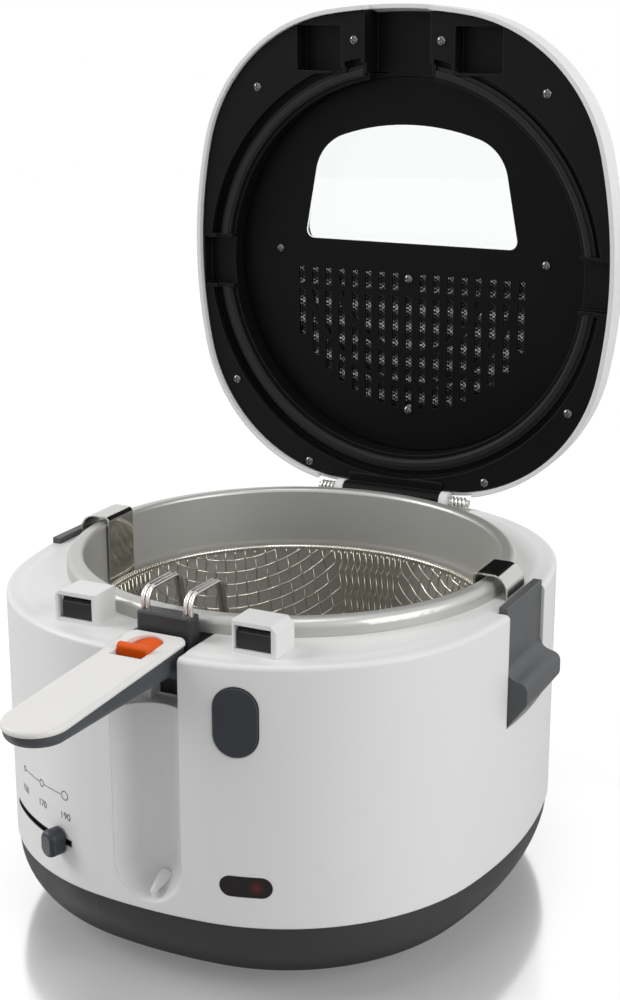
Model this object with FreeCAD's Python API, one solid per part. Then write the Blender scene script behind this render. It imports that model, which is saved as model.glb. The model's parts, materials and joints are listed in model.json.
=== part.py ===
"""Deep fryer with a hinged filter lid, a lift-out wire basket and a folding basket handle.

Millimetres, +Z up, front towards -Y. Drawn about the middle of the body plan on the table, and written
with the origin under the middle of the whole: lid open, basket in the bowl, handle out.
"""
import FreeCAD
import Part
import math
import os
from dataclasses import dataclass

V = FreeCAD.Vector
X_AXIS = V(1, 0, 0)
Y_AXIS = V(0, 1, 0)
Z_AXIS = V(0, 0, 1)

# From the body plan to the middle of the whole with the lid open and the handle out
frame_shift_y = 33.0

# Levels of the housing
foot_height = 4.0
seam_z = 41.4
shoulder_z = 175.0
deck_z = 175.5
wall = 2.5
shoulder_round = 2.6
shoulder_width = 11.0
base_round = 34.0
base_inset = 1.0

# Feet, assembly posts and what stands on the floor of the tray
foot_radius = 9.0
foot_x = 70.0
foot_y = 80.0
post_x = 84.5
post_y = 97.5
post_radius = 5.0
post_low_z = 20.0
base_screw_seat_z = 11.0
base_screw_radius = 1.6
base_screw_head = 3.6
vent_slot = (4.0, 28.0)
vent_step = (11.0, 42.0)
vent_columns = 9
gland_z = 34.0
gland_radius = 5.9
gland_flange_radius = 7.0
gland_flange = 3.0
gland_bore_radius = 3.6
gland_length = 22.0
gland_proud = 6.0
gland_seat_gap = 2.6
thermostat_place = (-48.0, -84.0)
terminal_place = (48.0, 86.0)
element_ring_radius = 72.0
element_radius = 3.5
cold_end_radius = 3.0
cold_end_length = 18.0
cold_end_angles = (70.0, 110.0)
fuse_y = -30.0
fuse_radius = 3.4
fuse_length = 22.0
fuse_lead_radius = 0.7
fuse_lead_length = 40.0

# Bowl, standing a little behind the middle of the body
bowl_y = 5.3
bowl_mouth_radius = 112.5
bowl_floor_radius = 111.0
bowl_floor_z = 50.0
bowl_wall = 1.5
bowl_floor_round = 16.0
rim_top_z = 184.1
rim_outer_radius = 121.6
rim_band = rim_top_z - deck_z
rim_round = 4.2
deck_opening_radius = 118.6
shield_radius = 119.0
shield_sheet = 0.8
shield_low_z = 40.0
shield_leg_gap = 0.1
shield_top_z = 146.0
shield_leg_width = 12.0
shield_leg_angles = (60.0, -60.0)
shield_gap_half = 24.0

# Notch for the handle bracket and groove for the folded handle
groove_radius = 19.0
groove_axis_y = -150.5
groove_bottom_z = 45.6
notch_floor_z = 142.0
notch_back_y = -119.0
ramp_width = 8.0
ramp_tip_width = 2.4
ramp_length = 14.0
ramp_drop = 0.3
ramp_x = 0.5
ramp_z = 53.0
bracket_pad_x = 12.0
bracket_pad_width = 5.0
part_gap = 0.3

# Hinge of the lid
hinge_y = 140.0
hinge_z = 178.5
lid_open_angle = 88.8
pin_radius = 2.0
pin_half_length = 49.5
knuckle_x = 34.4
knuckle_width = 5.0
knuckle_radius = 5.6
trough_radius = 6.3
barrel_radius = 5.0
running_gap = 0.06

# Torsion springs on the hinge pin
spring_turns = 4.0
spring_wire = 1.2
spring_pitch = 2.4
spring_coil_radius = 2.9
spring_start_x = 39.0
spring_leg = 4.8

# Latch bosses, hooks and the push button that draws them back
boss_x = 49.5
boss_width = 24.0
boss_front_y = -132.0
boss_back_y = -113.5
boss_top_z = 191.0
boss_wall = 2.0
boss_chamfer = 3.5
window_width = 20.3
window_low_z = 177.2
window_high_z = 188.9
hook_width = 17.2
hook_gap = 0.4
hook_front_y = -130.6
bar_back_y = -120.0
bar_front_y = -124.5
bar_low_z = 131.5
bar_high_z = 139.0
shelf_x = 31.0
shelf_width = 6.0
shelf_back_y = -117.0
shelf_height = 6.0
button_angle = 14.7
button_z = 146.7
button_width = 21.3
button_height = 34.4
button_gap = 0.5
button_proud = 0.8
button_stem_drop = 10.0

# Pilot lens
lens_angle = 16.7
lens_z = 62.6
lens_width = 26.0
lens_height = 11.0

# Thermostat slide, swinging about the centre of the left front corner
slide_rest_angle = 18.6
slot_low_angle = 14.4
slot_high_angle = 44.6
slot_z = 63.6
slot_height = 3.6
slit_height = 2.6
slot_strip_height = 12.0
slot_strip_sheet = 1.2
slot_fit = 0.02
slit_end = 0.4
lever_height = 2.0
lever_width = 5.0
knob_width = 10.6
knob_height = 14.6
knob_depth = 8.5

# Side handles and the steel clips over the bowl rim
grip_half_width = 25.5
grip_top_z = 178.1
grip_bottom_z = 114.5
grip_face_x = 135.2
grip_inner_x = 130.6
grip_flange = 5.0
grip_flange_x = 133.4
grip_flange_top_z = 168.0
lip_x = 147.0
lip_top_z = 139.0
lip_low_z = 126.5
lip_round = 4.8
lip_hollow_round = 7.0
grip_gap = 0.4
clip_width = 25.0
clip_y = bowl_y
clip_inner_x = 110.45
clip_outer_x = 127.4
clip_low_z = 150.0
clip_top_z = 187.3
clip_foot_z = 171.5
clip_sheet = 0.9
clip_bends = (2.0, 8.0)

# Lid levels, measured up from the hinge axis with the lid shut
lid_height = 45.0
lid_round = 33.0
frame_level = 3.0
frame_sheet = 2.5
frame_inset = 3.1
dish_radius = 112.2
seal_room_radius = 125.0
seal_room_level = 10.0
plate_level = 22.0
plate_sheet = 2.0
plate_radius = 111.6
notch_half_width = 20.5
notch_height = 9.0
tunnel_top_z = 200.2
pocket_top_z = 193.5
pocket_gap = 2.2
pocket_sheet = 2.0
side_room_gap = 2.0
side_room_x = 129.0

# Window in the lid
window_rear_y = -9.5
window_front_y = -79.0
window_rear_half = 69.0
window_front_half = 58.5
window_shoulder_y = -66.0
window_rear_round = 5.0
window_front_round = 27.0
window_flare = 9.0
pane_sheet = 2.0

# Filter grille in the inner plate
grille_top_y = 8.5
grille_columns = 17
grille_pitch = 8.93
grille_slot = 4.2
grille_radius = 83.0
grille_top_slot = 10.5
grille_bridge = 3.4
grille_bridge_radii = (50.0, 70.0)
vent_rows = 5
vent_pitch = 13.0
vent_start_y = 22.0
vent_length = 104.0
vent_taper = 12.0
vent_width = 4.0
filter_sheet = 1.4
filter_depth = 11.0

# Screws of the lid
lid_screw_radius = 1.4
lid_screw_head = 3.0
lid_screw_head_height = 1.6
lid_screw_length = 9.0
lid_post_radius = 3.0
frame_screw_right = ((90.0, -100.0), (27.0, -127.5), (108.0, 79.0), (58.0, 126.5))
plate_screw_places = ((-86.0, -2.0), (86.0, -2.0), (0.0, 11.5), (0.0, 92.5))

# Basket
basket_top_radius = 107.6
basket_floor_radius = 97.0
basket_ring_z = 149.2
basket_floor_z = 57.0
basket_round = 14.0
basket_sheet = 1.6
ring_wire = 2.2
hanger_x = 11.8
hanger_wire = 2.4
hanger_pair_gap = 2.7
hanger_outer_y = -126.8
hanger_top_z = 197.0
hanger_bend_y = -96.5
hanger_drop_y = -90.0
hanger_drop_z = 172.0
hanger_foot_z = 157.0
hanger_sunk = 12.0
hanger_bend = 6.0

# Handle bracket and folding handle
bracket_half_width = 15.0
bracket_front_y = -131.0
bracket_back_y = -121.0
bracket_low_z = 156.0
bracket_top_z = 187.3
tongue_half_width = 7.0
tongue_radius = 4.5
pivot_y = -141.0
pivot_z = 168.0
pivot_radius = 2.0
handle_half_width = 15.6
handle_top_z = 178.9
handle_inner_y = -132.8
handle_inner_round = 4.5
handle_tip_y = -250.0
handle_plate = 3.0
handle_edge_round = 2.0
handle_body_depth = 13.5
handle_tip_depth = 5.8
handle_under_round = 4.5
handle_slope = 2.6
slide_button_inner_y = -138.0
slide_button_outer_y = -158.5
slide_button_half_width = 8.2
slide_button_gap = 0.4
slide_button_room_ahead = 5.5
slide_button_lip = 5.0
slide_button_lip_height = 3.0
slide_button_well = 1.6
slide_button_dish_radius = 26.0
slide_button_dish_depth = 2.2
handle_screw_places = (-188.0, -228.0)
handle_screw_radius = 1.2
handle_screw_head = 2.6
handle_screw_seat = 4.0
handle_screw_grip = 2.2


@dataclass
class Plan:
    """A rounded plan outline of tangent arcs: two sides, a front, a rear and four corners."""

    half_width: float
    front: float
    rear: float
    side_radius: float
    front_radius: float
    rear_radius: float
    corner_radius: float

    def corner(self, depth, end_radius):
        """Centre of the corner arc that touches the side arc and an end arc, and the two directions."""
        side = V(self.half_width - self.side_radius, 0, 0)
        end = V(0, depth - end_radius, 0)
        to_side = self.side_radius - self.corner_radius
        to_end = end_radius - self.corner_radius
        span = (end - side).Length
        along = (to_side ** 2 - to_end ** 2 + span ** 2) / (2 * span)
        across = math.sqrt(to_side ** 2 - along ** 2)
        unit = (end - side).normalize()
        centre = side + unit * along + V(-unit.y, unit.x, 0) * across
        return centre, (centre - side).normalize(), (centre - end).normalize()

    def wire(self, inset, z):
        """The outline, moved in by an even inset, as a wire of eight arcs."""
        radius = self.corner_radius - inset
        quarter = {}
        ends = ((1, self.rear, self.rear_radius), (-1, self.front, self.front_radius))
        for sign, depth, end_radius in ends:
            centre, out_side, out_end = self.corner(depth, end_radius)
            middle = (out_side + out_end).normalize()
            quarter[sign] = [centre + direction * radius for direction in (out_side, middle, out_end)]

        def point(p, side, sign):
            return V(side * p.x, sign * p.y, z)

        def arc(a, b, c):
            return Part.Arc(a, b, c).toShape()

        edges = []
        for side, sign in ((1, 1), (-1, 1), (-1, -1), (1, -1)):
            near, middle, far = (point(p, side, sign) for p in quarter[sign])
            edges.append(arc(near, middle, far))
        for side in (1, -1):
            ends = [point(quarter[sign][0], side, sign) for sign in (-1, 1)]
            edges.append(arc(ends[0], V(side * (self.half_width - inset), 0, z), ends[1]))
        for sign, depth in ((1, self.rear), (-1, self.front)):
            ends = [point(quarter[sign][2], side, sign) for side in (-1, 1)]
            edges.append(arc(ends[0], V(0, sign * (depth - inset), z), ends[1]))
        return Part.Wire(Part.__sortEdges__(edges))

    def prism(self, inset, low, high):
        """The solid between two levels inside the inset outline."""
        return Part.Face(self.wire(inset, low)).extrude(V(0, 0, high - low))


body_plan = Plan(138.0, 151.0, 151.0, 272.0, 260.0, 260.0, 117.0)
lid_plan = Plan(133.0, 147.5, 139.0, 303.0, 287.0, 620.0, 100.0)


def block(x0, x1, y0, y1, z0, z1):
    """A box between two corners."""
    return Part.makeBox(x1 - x0, y1 - y0, z1 - z0, V(x0, y0, z0))


def post(radius, low, high, x=0.0, y=0.0):
    """An upright cylinder."""
    return Part.makeCylinder(radius, high - low, V(x, y, low))


def rod(radius, x0, x1, y, z):
    """A cylinder along X."""
    return Part.makeCylinder(radius, x1 - x0, V(x0, y, z), X_AXIS)


def ring(outer, inner, low, high, y=bowl_y):
    """An upright ring about the bowl axis."""
    return post(outer, low, high, 0, y).cut(post(inner, low - 1, high + 1, 0, y))


def cone(radius_low, radius_high, low, high):
    """An upright cone about the bowl axis."""
    return Part.makeCone(radius_low, radius_high, high - low, V(0, bowl_y, low))


def edges_at(shape, z):
    """The edges that lie in one level."""
    found = []
    for edge in shape.Edges:
        box = edge.BoundBox
        if abs(box.ZMin - z) < 1e-3 and abs(box.ZMax - z) < 1e-3:
            found.append(edge)
    return found


def upright_edges(shape, keep):
    """The vertical straight edges whose middle passes the keep test."""
    found = []
    for edge in shape.Edges:
        box = edge.BoundBox
        if box.XLength < 1e-3 and box.YLength < 1e-3 and keep(box.Center):
            found.append(edge)
    return found


def mirrored(shape):
    """The left-hand copy of a right-hand shape."""
    return shape.mirror(V(0, 0, 0), X_AXIS)


def fused(shapes):
    """One solid from shapes that overlap or touch."""
    return shapes[0].multiFuse(shapes[1:]).removeSplitter()


def four_corners(x, y):
    """The four places at plus and minus x and y."""
    return [(sx * x, sy * y) for sx in (-1, 1) for sy in (-1, 1)]


def stadium(width, height, depth):
    """A prism with half-round ends, centred on the origin, its section in XZ and its length along +Y."""
    small = min(width, height) / 2
    reach_x = width / 2 - small
    reach_z = height / 2 - small
    parts = [Part.makeCylinder(small, depth, V(s * reach_x, 0, s * reach_z), Y_AXIS) for s in (-1, 1)]
    if reach_x > 0:
        parts.append(block(-reach_x, reach_x, 0, depth, -small, small))
    if reach_z > 0:
        parts.append(block(-small, small, 0, depth, -reach_z, reach_z))
    return fused(parts)


def on_corner(shape, angle, z, out, side):
    """Carry a shape from the origin to the front corner wall: -Y turns to the outward direction."""
    centre = body_plan.corner(body_plan.front, body_plan.front_radius)[0]
    radius = body_plan.corner_radius + out
    turned = shape.copy()
    turned.rotate(V(0, 0, 0), Z_AXIS, side * angle)
    swing = math.radians(angle)
    turned.translate(V(side * (centre.x + radius * math.sin(swing)), -centre.y - radius * math.cos(swing), z))
    return turned


def bent_path(points, bends):
    """Straight runs through corner points, joined at each corner by a tangent arc of its own radius."""
    edges = []
    start = points[0]
    for before, corner, after, bend_radius in zip(points, points[1:], points[2:], bends):
        back = (before - corner).normalize()
        ahead = (after - corner).normalize()
        half = back.getAngle(ahead) / 2
        trim = bend_radius / math.tan(half)
        first = corner + back * trim
        last = corner + ahead * trim
        bisector = (back + ahead).normalize()
        middle = corner + bisector * (bend_radius / math.sin(half) - bend_radius)
        edges.append(Part.LineSegment(start, first).toShape())
        edges.append(Part.Arc(first, middle, last).toShape())
        start = last
    edges.append(Part.LineSegment(start, points[-1]).toShape())
    return Part.Wire(edges)


def tube(path, radius):
    """A round wire along a path."""
    start = path.Edges[0].Vertexes[0].Point
    tangent = path.Edges[0].tangentAt(path.Edges[0].FirstParameter)
    section = Part.Wire(Part.makeCircle(radius, start, tangent))
    return path.makePipeShell([section], True, False)


def biarc(start, start_dir, end, end_dir):
    """Two arcs that leave and arrive along the given directions."""
    chord = end - start
    both = start_dir + end_dir
    gap = 2 * (1 - start_dir.dot(end_dir))
    reach = (-chord.dot(both) + math.sqrt(chord.dot(both) ** 2 + gap * chord.dot(chord))) / gap
    join = (start + end + (start_dir - end_dir) * reach) * 0.5

    def arc(a, direction, b):
        line = b - a
        unit = V(line).normalize()
        side = direction - unit * direction.dot(unit)
        bulge = line.Length / 2 * math.tan(direction.getAngle(line) / 2)
        return Part.Arc(a, (a + b) * 0.5 + side.normalize() * bulge, b).toShape()

    second = arc(end, end_dir * -1, join)
    return [arc(start, start_dir, join), Part.Edge(second)]


def pan_screw(head_radius, head_height, shank_radius, length):
    """A pan-head screw pointing up +Z, head below the origin level."""
    head = post(head_radius, -head_height, 0)
    head = head.makeFillet(head_height * 0.45, edges_at(head, -head_height))
    cross = block(-0.4, 0.4, -1.6, 1.6, -head_height - 1, -head_height + 0.8)
    cross = cross.fuse(block(-1.6, 1.6, -0.4, 0.4, -head_height - 1, -head_height + 0.8))
    return head.cut(cross).fuse(post(shank_radius, 0, length))


# Housing


def tray_room(gap):
    """The inside of the tray, kept a gap off its wall and floor."""
    floor = foot_height + wall + gap
    room = body_plan.prism(base_inset + wall + gap, floor, seam_z + 1)
    return room.makeFillet(base_round - wall - gap, edges_at(room, floor))


def make_base_tray():
    """Dark tray with a rounded lower edge, vents in its floor and a hole for the cord gland."""
    outer = body_plan.prism(base_inset, foot_height, seam_z)
    outer = outer.makeFillet(base_round, edges_at(outer, foot_height))
    tray = outer.cut(tray_room(0))
    wells = [post(post_radius + 1, 0, post_low_z, x, y) for x, y in four_corners(post_x, post_y)]
    tray = fused([tray] + [well.common(outer) for well in wells])
    cuts = []
    half_x, half_y = vent_slot[0] / 2, vent_slot[1] / 2
    for row in (-1, 0, 1):
        for column in range(vent_columns):
            x = (column - (vent_columns - 1) / 2) * vent_step[0]
            y = row * vent_step[1]
            cuts.append(block(x - half_x, x + half_x, y - half_y, y + half_y, 0, foot_height + wall + 1))
    for x, y in four_corners(post_x, post_y):
        cuts.append(post(base_screw_head + 0.6, 0, base_screw_seat_z, x, y))
        cuts.append(post(base_screw_radius + 0.2, base_screw_seat_z, post_low_z + 1, x, y))
    cuts.append(Part.makeCylinder(gland_radius + 0.05, 30, V(0, body_plan.rear - 25, gland_z), Y_AXIS))
    return tray.cut(cuts)


def make_cord_gland():
    """Flanged bush for the mains lead, its flange behind the rear wall of the tray."""
    face = body_plan.rear - base_inset
    end = face + gland_proud
    barrel = Part.makeCylinder(gland_radius, gland_length, V(0, end - gland_length, gland_z), Y_AXIS)
    seat = face - wall - gland_seat_gap
    flange = Part.makeCylinder(gland_flange_radius, gland_flange, V(0, seat - gland_flange, gland_z), Y_AXIS)
    bore_start = V(0, end - 1.5 * gland_length, gland_z)
    bore = Part.makeCylinder(gland_bore_radius, 2 * gland_length, bore_start, Y_AXIS)
    return barrel.fuse(flange).cut(bore).removeSplitter()


def make_feet():
    """Four rubber feet with a bevelled edge."""
    feet = []
    for x, y in four_corners(foot_x, foot_y):
        foot = post(foot_radius, 0, foot_height, x, y)
        feet.append(foot.makeChamfer(1.0, edges_at(foot, 0)))
    return Part.makeCompound(feet)


def make_base_screws():
    """Four screws, sunk in the tray from below, that hold it to the posts of the body."""
    screws = []
    for x, y in four_corners(post_x, post_y):
        screw = pan_screw(base_screw_head, 2.4, base_screw_radius, 18)
        screws.append(screw.translated(V(x, y, base_screw_seat_z)))
    return Part.makeCompound(screws)


def groove_cutter(grow):
    """Round channel for the folded handle, open at the top, with the notch for the bracket."""
    radius = groove_radius + grow
    low = groove_bottom_z + groove_radius
    channel = post(radius, low, deck_z + 20, 0, groove_axis_y)
    end = Part.makeSphere(radius, V(0, groove_axis_y, low))
    notch_back = notch_back_y if grow else notch_back_y + 10
    notch = block(-radius, radius, groove_axis_y, notch_back, notch_floor_z - grow, deck_z + 20)
    return fused([channel, end, notch])


def boss_outline():
    """Right-hand latch boss, rounded, with a sloping outer side."""
    low = boss_x - boss_width / 2
    high = boss_x + boss_width / 2
    boss = block(low, high, boss_front_y, boss_back_y, deck_z - 2, boss_top_z)
    outer = [e for e in edges_at(boss, boss_top_z) if e.BoundBox.XMin > high - 1]
    boss = boss.makeChamfer(boss_chamfer, outer)
    front = upright_edges(boss, lambda p: p.y < boss_front_y + 1)
    return boss.makeFillet(1.6, front)


def boss_hollow():
    """Room for the hook inside the boss, its front window and the way down through the deck."""
    half = boss_width / 2 - boss_wall
    room = block(boss_x - half, boss_x + half - 2, boss_front_y + boss_wall, boss_back_y - boss_wall,
                 deck_z - 12, boss_top_z - 1.8)
    window = block(boss_x - window_width / 2, boss_x + window_width / 2 - 1, boss_front_y - 1,
                   boss_front_y + boss_wall + 1, window_low_z, window_high_z)
    return room.fuse(window)


def slot_sector(inner, outer, height, low_angle, high_angle):
    """A curved bar at the height of the slot, between two angles of the left front corner."""
    centre = body_plan.corner(body_plan.front, body_plan.front_radius)[0]
    sector = Part.makeCylinder(outer, height, V(0, 0, -height / 2), Z_AXIS, high_angle - low_angle)
    sector = sector.cut(post(inner, -height, height))
    sector.rotate(V(0, 0, 0), Z_AXIS, 270 - high_angle)
    return sector.translated(V(-centre.x, -centre.y, slot_z))


def knuckles():
    """Upright ears on the rear deck that carry the hinge pin."""
    ears = []
    for side in (-1, 1):
        x0 = side * knuckle_x - knuckle_width / 2
        ear = rod(knuckle_radius, x0, x0 + knuckle_width, hinge_y, hinge_z)
        foot = block(x0, x0 + knuckle_width, hinge_y - knuckle_radius, hinge_y + knuckle_radius,
                     deck_z - 9, hinge_z)
        ears.append(ear.fuse(foot))
    return ears


def shoulder_slope(inset):
    """Solid that rises gently from the shoulder edge to the deck, moved in by an even inset."""
    sunk = shoulder_round / 2
    low = body_plan.wire(inset + sunk, shoulder_z - inset - sunk / 2)
    high = body_plan.wire(inset + shoulder_width, deck_z - inset)
    return Part.makeLoft([low, high], True, True)


def make_body_shell():
    """White shell: outer wall, shoulder, deck, handle groove, latch bosses and hinge knuckles."""
    outer = body_plan.prism(0, seam_z, shoulder_z)
    outer = outer.makeFillet(shoulder_round, edges_at(outer, shoulder_z))
    outer = outer.fuse(shoulder_slope(0)).cut(groove_cutter(0))
    inner = body_plan.prism(wall, seam_z - 1, shoulder_z - wall)
    inner = inner.fuse(shoulder_slope(wall)).cut(groove_cutter(wall))
    trough = rod(trough_radius + wall, -pin_half_length - 4, pin_half_length + 4, hinge_y, hinge_z)
    inner = inner.cut(trough)
    shell = outer.cut(inner)
    shell = shell.cut(rod(trough_radius, -pin_half_length - 1.5, pin_half_length + 1.5, hinge_y, hinge_z))
    shell = shell.cut(post(deck_opening_radius, notch_floor_z + 5, deck_z + 5, 0, bowl_y))
    boss = boss_outline()
    posts = [post(post_radius, post_low_z, deck_z - 1, x, y) for x, y in four_corners(post_x, post_y)]
    shell = fused([shell, boss, mirrored(boss)] + knuckles() + posts + latch_shelves() + bracket_pads())
    hollow = boss_hollow()
    grip_room = block(grip_inner_x - grip_gap, 160, -grip_half_width - grip_gap, grip_half_width + grip_gap,
                      grip_bottom_z - grip_gap, deck_z + 5)
    half = clip_width / 2 + 0.1
    clip_slot = block(clip_outer_x - clip_sheet - 0.1, clip_outer_x + clip_sheet + 0.1,
                      clip_y - half, clip_y + half, clip_foot_z - 1, deck_z + 1)
    cuts = [hollow, grip_room, clip_slot]
    cuts += [mirrored(cut) for cut in cuts]
    cuts.append(rod(pin_radius + running_gap / 2, -60, 60, hinge_y, hinge_z))
    cuts += [post(base_screw_radius + 0.02, post_low_z - 1, post_low_z + 12, x, y)
             for x, y in four_corners(post_x, post_y)]
    hole = stadium(button_width + 2 * button_gap, button_height + 2 * button_gap, 20)
    cuts.append(on_corner(hole.translated(V(0, -10, 0)), button_angle, button_z, 0, 1))
    hole = stadium(lens_width + 0.04, lens_height + 0.04, 20)
    cuts.append(on_corner(hole.translated(V(0, -10, 0)), lens_angle, lens_z, 0, 1))
    radius = body_plan.corner_radius
    cuts.append(slot_sector(radius - 12, radius + 6, slot_height, slot_low_angle, slot_high_angle))
    shell = shell.cut(cuts)
    ramp = Part.makeCone(ramp_width / 2, ramp_tip_width / 2, ramp_length, V(0, 0, 0), V(0, -1, -ramp_drop))
    ramp = ramp.translated(V(ramp_x, groove_axis_y + groove_radius - 3, ramp_z))
    return shell.fuse(ramp.common(post(groove_radius + 1, seam_z, 100, 0, groove_axis_y))).removeSplitter()


def latch_shelves():
    """Two shelves on the inside of the front wall that carry the latch bar."""
    top = bar_low_z - part_gap
    shelf = block(shelf_x - shelf_width / 2, shelf_x + shelf_width / 2, -body_plan.front, shelf_back_y,
                  top - shelf_height, top)
    shelf = shelf.common(body_plan.prism(1.0, seam_z, shoulder_z))
    return [shelf, mirrored(shelf)]


def bracket_pads():
    """Two pads on the floor of the notch that the basket's bracket rests on."""
    pads = []
    half = bracket_pad_width / 2
    for x in (-bracket_pad_x, bracket_pad_x):
        pads.append(block(x - half, x + half, bracket_front_y + 3, notch_back_y,
                          notch_floor_z - 1, bracket_low_z - part_gap))
    return pads


def make_bowl():
    """Pressed bowl with a rolled rim that hangs on the deck opening."""
    base_z = bowl_floor_z
    outer = cone(bowl_floor_radius + bowl_wall, bowl_mouth_radius + bowl_wall, base_z, rim_top_z)
    outer = outer.makeFillet(bowl_floor_round + bowl_wall, edges_at(outer, base_z))
    rim = post(rim_outer_radius, rim_top_z - rim_band, rim_top_z, 0, bowl_y)
    rim = rim.makeFillet(rim_round, edges_at(rim, rim_top_z))
    under = ring(rim_outer_radius - bowl_wall, bowl_mouth_radius + bowl_wall + 0.5,
                 rim_top_z - rim_band - 1, rim_top_z - 2 * bowl_wall)
    inner = cone(bowl_floor_radius, bowl_mouth_radius, base_z + bowl_wall, rim_top_z)
    inner = inner.makeFillet(bowl_floor_round, edges_at(inner, base_z + bowl_wall))
    bowl = outer.fuse(rim).cut([under, inner])
    mouth = [e for e in edges_at(bowl, rim_top_z) if e.BoundBox.XMax < bowl_mouth_radius + 1]
    return bowl.makeFillet(2.0, mouth).removeSplitter()


def make_heat_shield():
    """Bright sheet that stands round the bowl on four legs."""
    inside = shield_radius - shield_sheet
    shield = ring(shield_radius, inside, shield_low_z, shield_top_z)
    room = tray_room(shield_leg_gap)
    half = shield_leg_width / 2
    pieces = [shield]
    for angle in shield_leg_angles:
        bar = block(-half, half, -shield_radius - 5, shield_radius + 5, foot_height, seam_z)
        bar.rotate(V(0, 0, 0), Z_AXIS, angle)
        bar.translate(V(0, bowl_y, 0))
        leg = ring(shield_radius, inside, foot_height, seam_z).common(bar)
        pieces.append(leg.common(room))
    gap = block(-shield_gap_half, shield_gap_half, -shield_radius - 20, 0,
                notch_floor_z - 22, shield_top_z + 1)
    return fused(pieces).cut(gap).removeSplitter()


def make_heating_element():
    """Sheathed element clamped under the bowl floor, with its two cold ends turned down."""
    level = bowl_floor_z - element_radius
    low_angle, high_angle = cold_end_angles
    coil = Part.makeTorus(element_ring_radius, element_radius, V(0, 0, 0), Z_AXIS, 0, 360,
                          360 - high_angle + low_angle)
    coil.rotate(V(0, 0, 0), Z_AXIS, high_angle)
    coil.translate(V(0, bowl_y, level))
    ends = []
    for angle in cold_end_angles:
        swing = math.radians(angle)
        place = V(math.cos(swing), math.sin(swing), 0) * element_ring_radius + V(0, bowl_y, level)
        ends.append(Part.makeCylinder(cold_end_radius, cold_end_length, place, V(0, 0, -1)))
    return fused([coil] + ends)


def make_thermostat_body():
    """Thermostat block on the floor of the tray, with the socket of its sensing bulb."""
    case = block(-16, 16, -11, 11, 0, 20)
    case = case.makeFillet(2.0, upright_edges(case, lambda p: True))
    stem = post(5, 20, 26)
    shape = case.fuse(stem).removeSplitter()
    return shape.translated(V(*thermostat_place, foot_height + wall))


def make_terminal_block():
    """Three-way terminal block on the floor of the tray."""
    bar = block(-18, 18, -8, 8, 0, 12)
    wells = [post(3, 6, 13, x, 0) for x in (-11, 0, 11)]
    return bar.cut(wells).translated(V(*terminal_place, foot_height + wall))


def make_thermal_fuse():
    """Thermal fuse clipped to the underside of the bowl."""
    can = Part.makeCylinder(fuse_radius, fuse_length, V(-fuse_length / 2, 0, 0), X_AXIS)
    leads = Part.makeCylinder(fuse_lead_radius, fuse_lead_length, V(-fuse_lead_length / 2, 0, 0), X_AXIS)
    return can.fuse(leads).removeSplitter().translated(V(0, fuse_y, bowl_floor_z - fuse_radius))


def make_pilot_lamp():
    """Neon lamp in the holder that closes the lens opening from behind."""
    holder = block(-lens_width / 2 - 3, lens_width / 2 + 3, -2, 12, -lens_height / 2 - 3, lens_height / 2 + 3)
    room = block(-lens_width / 2, lens_width / 2, -3, 10, -lens_height / 2, lens_height / 2)
    bulb = Part.makeCylinder(3.0, 9, V(0, 6, 0), Y_AXIS).fuse(Part.makeSphere(3.0, V(0, 6, 0)))
    lamp = on_corner(fused([holder.cut(room), bulb]), lens_angle, lens_z, 0, 1)
    return lamp.common(body_plan.prism(wall + 0.05, seam_z, shoulder_z))


def make_pilot_lens():
    """Smoked oval lens, flush with the curved wall."""
    prism = stadium(lens_width, lens_height, 20).translated(V(0, -10, 0))
    prism = on_corner(prism, lens_angle, lens_z, 0, 1)
    skin = body_plan.prism(0.3, seam_z, shoulder_z).cut(body_plan.prism(wall, seam_z - 1, shoulder_z + 1))
    return prism.common(skin)


def make_slot_backing():
    """Dark guide strip behind the thermostat slot, with a collar that lines it and a slit for the lever."""
    radius = body_plan.corner_radius
    strip = slot_sector(radius - 20, radius + 5, slot_strip_height, slot_low_angle - 2, slot_high_angle + 2)
    skin = body_plan.prism(wall + slot_fit, seam_z, shoulder_z)
    skin = skin.cut(body_plan.prism(wall + slot_strip_sheet, seam_z - 1, shoulder_z))
    collar = slot_sector(radius - 20, radius + 5, slot_height - 2 * slot_fit, slot_low_angle + slot_fit,
                         slot_high_angle - slot_fit)
    edge = body_plan.prism(slot_fit, seam_z, shoulder_z)
    edge = edge.cut(body_plan.prism(wall + slot_strip_sheet, seam_z - 1, shoulder_z))
    lined = strip.common(skin).fuse(collar.common(edge))
    slit = slot_sector(radius - 22, radius + 6, slit_height, slot_low_angle + slit_end,
                       slot_high_angle - slit_end)
    return lined.cut(slit).removeSplitter()


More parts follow.
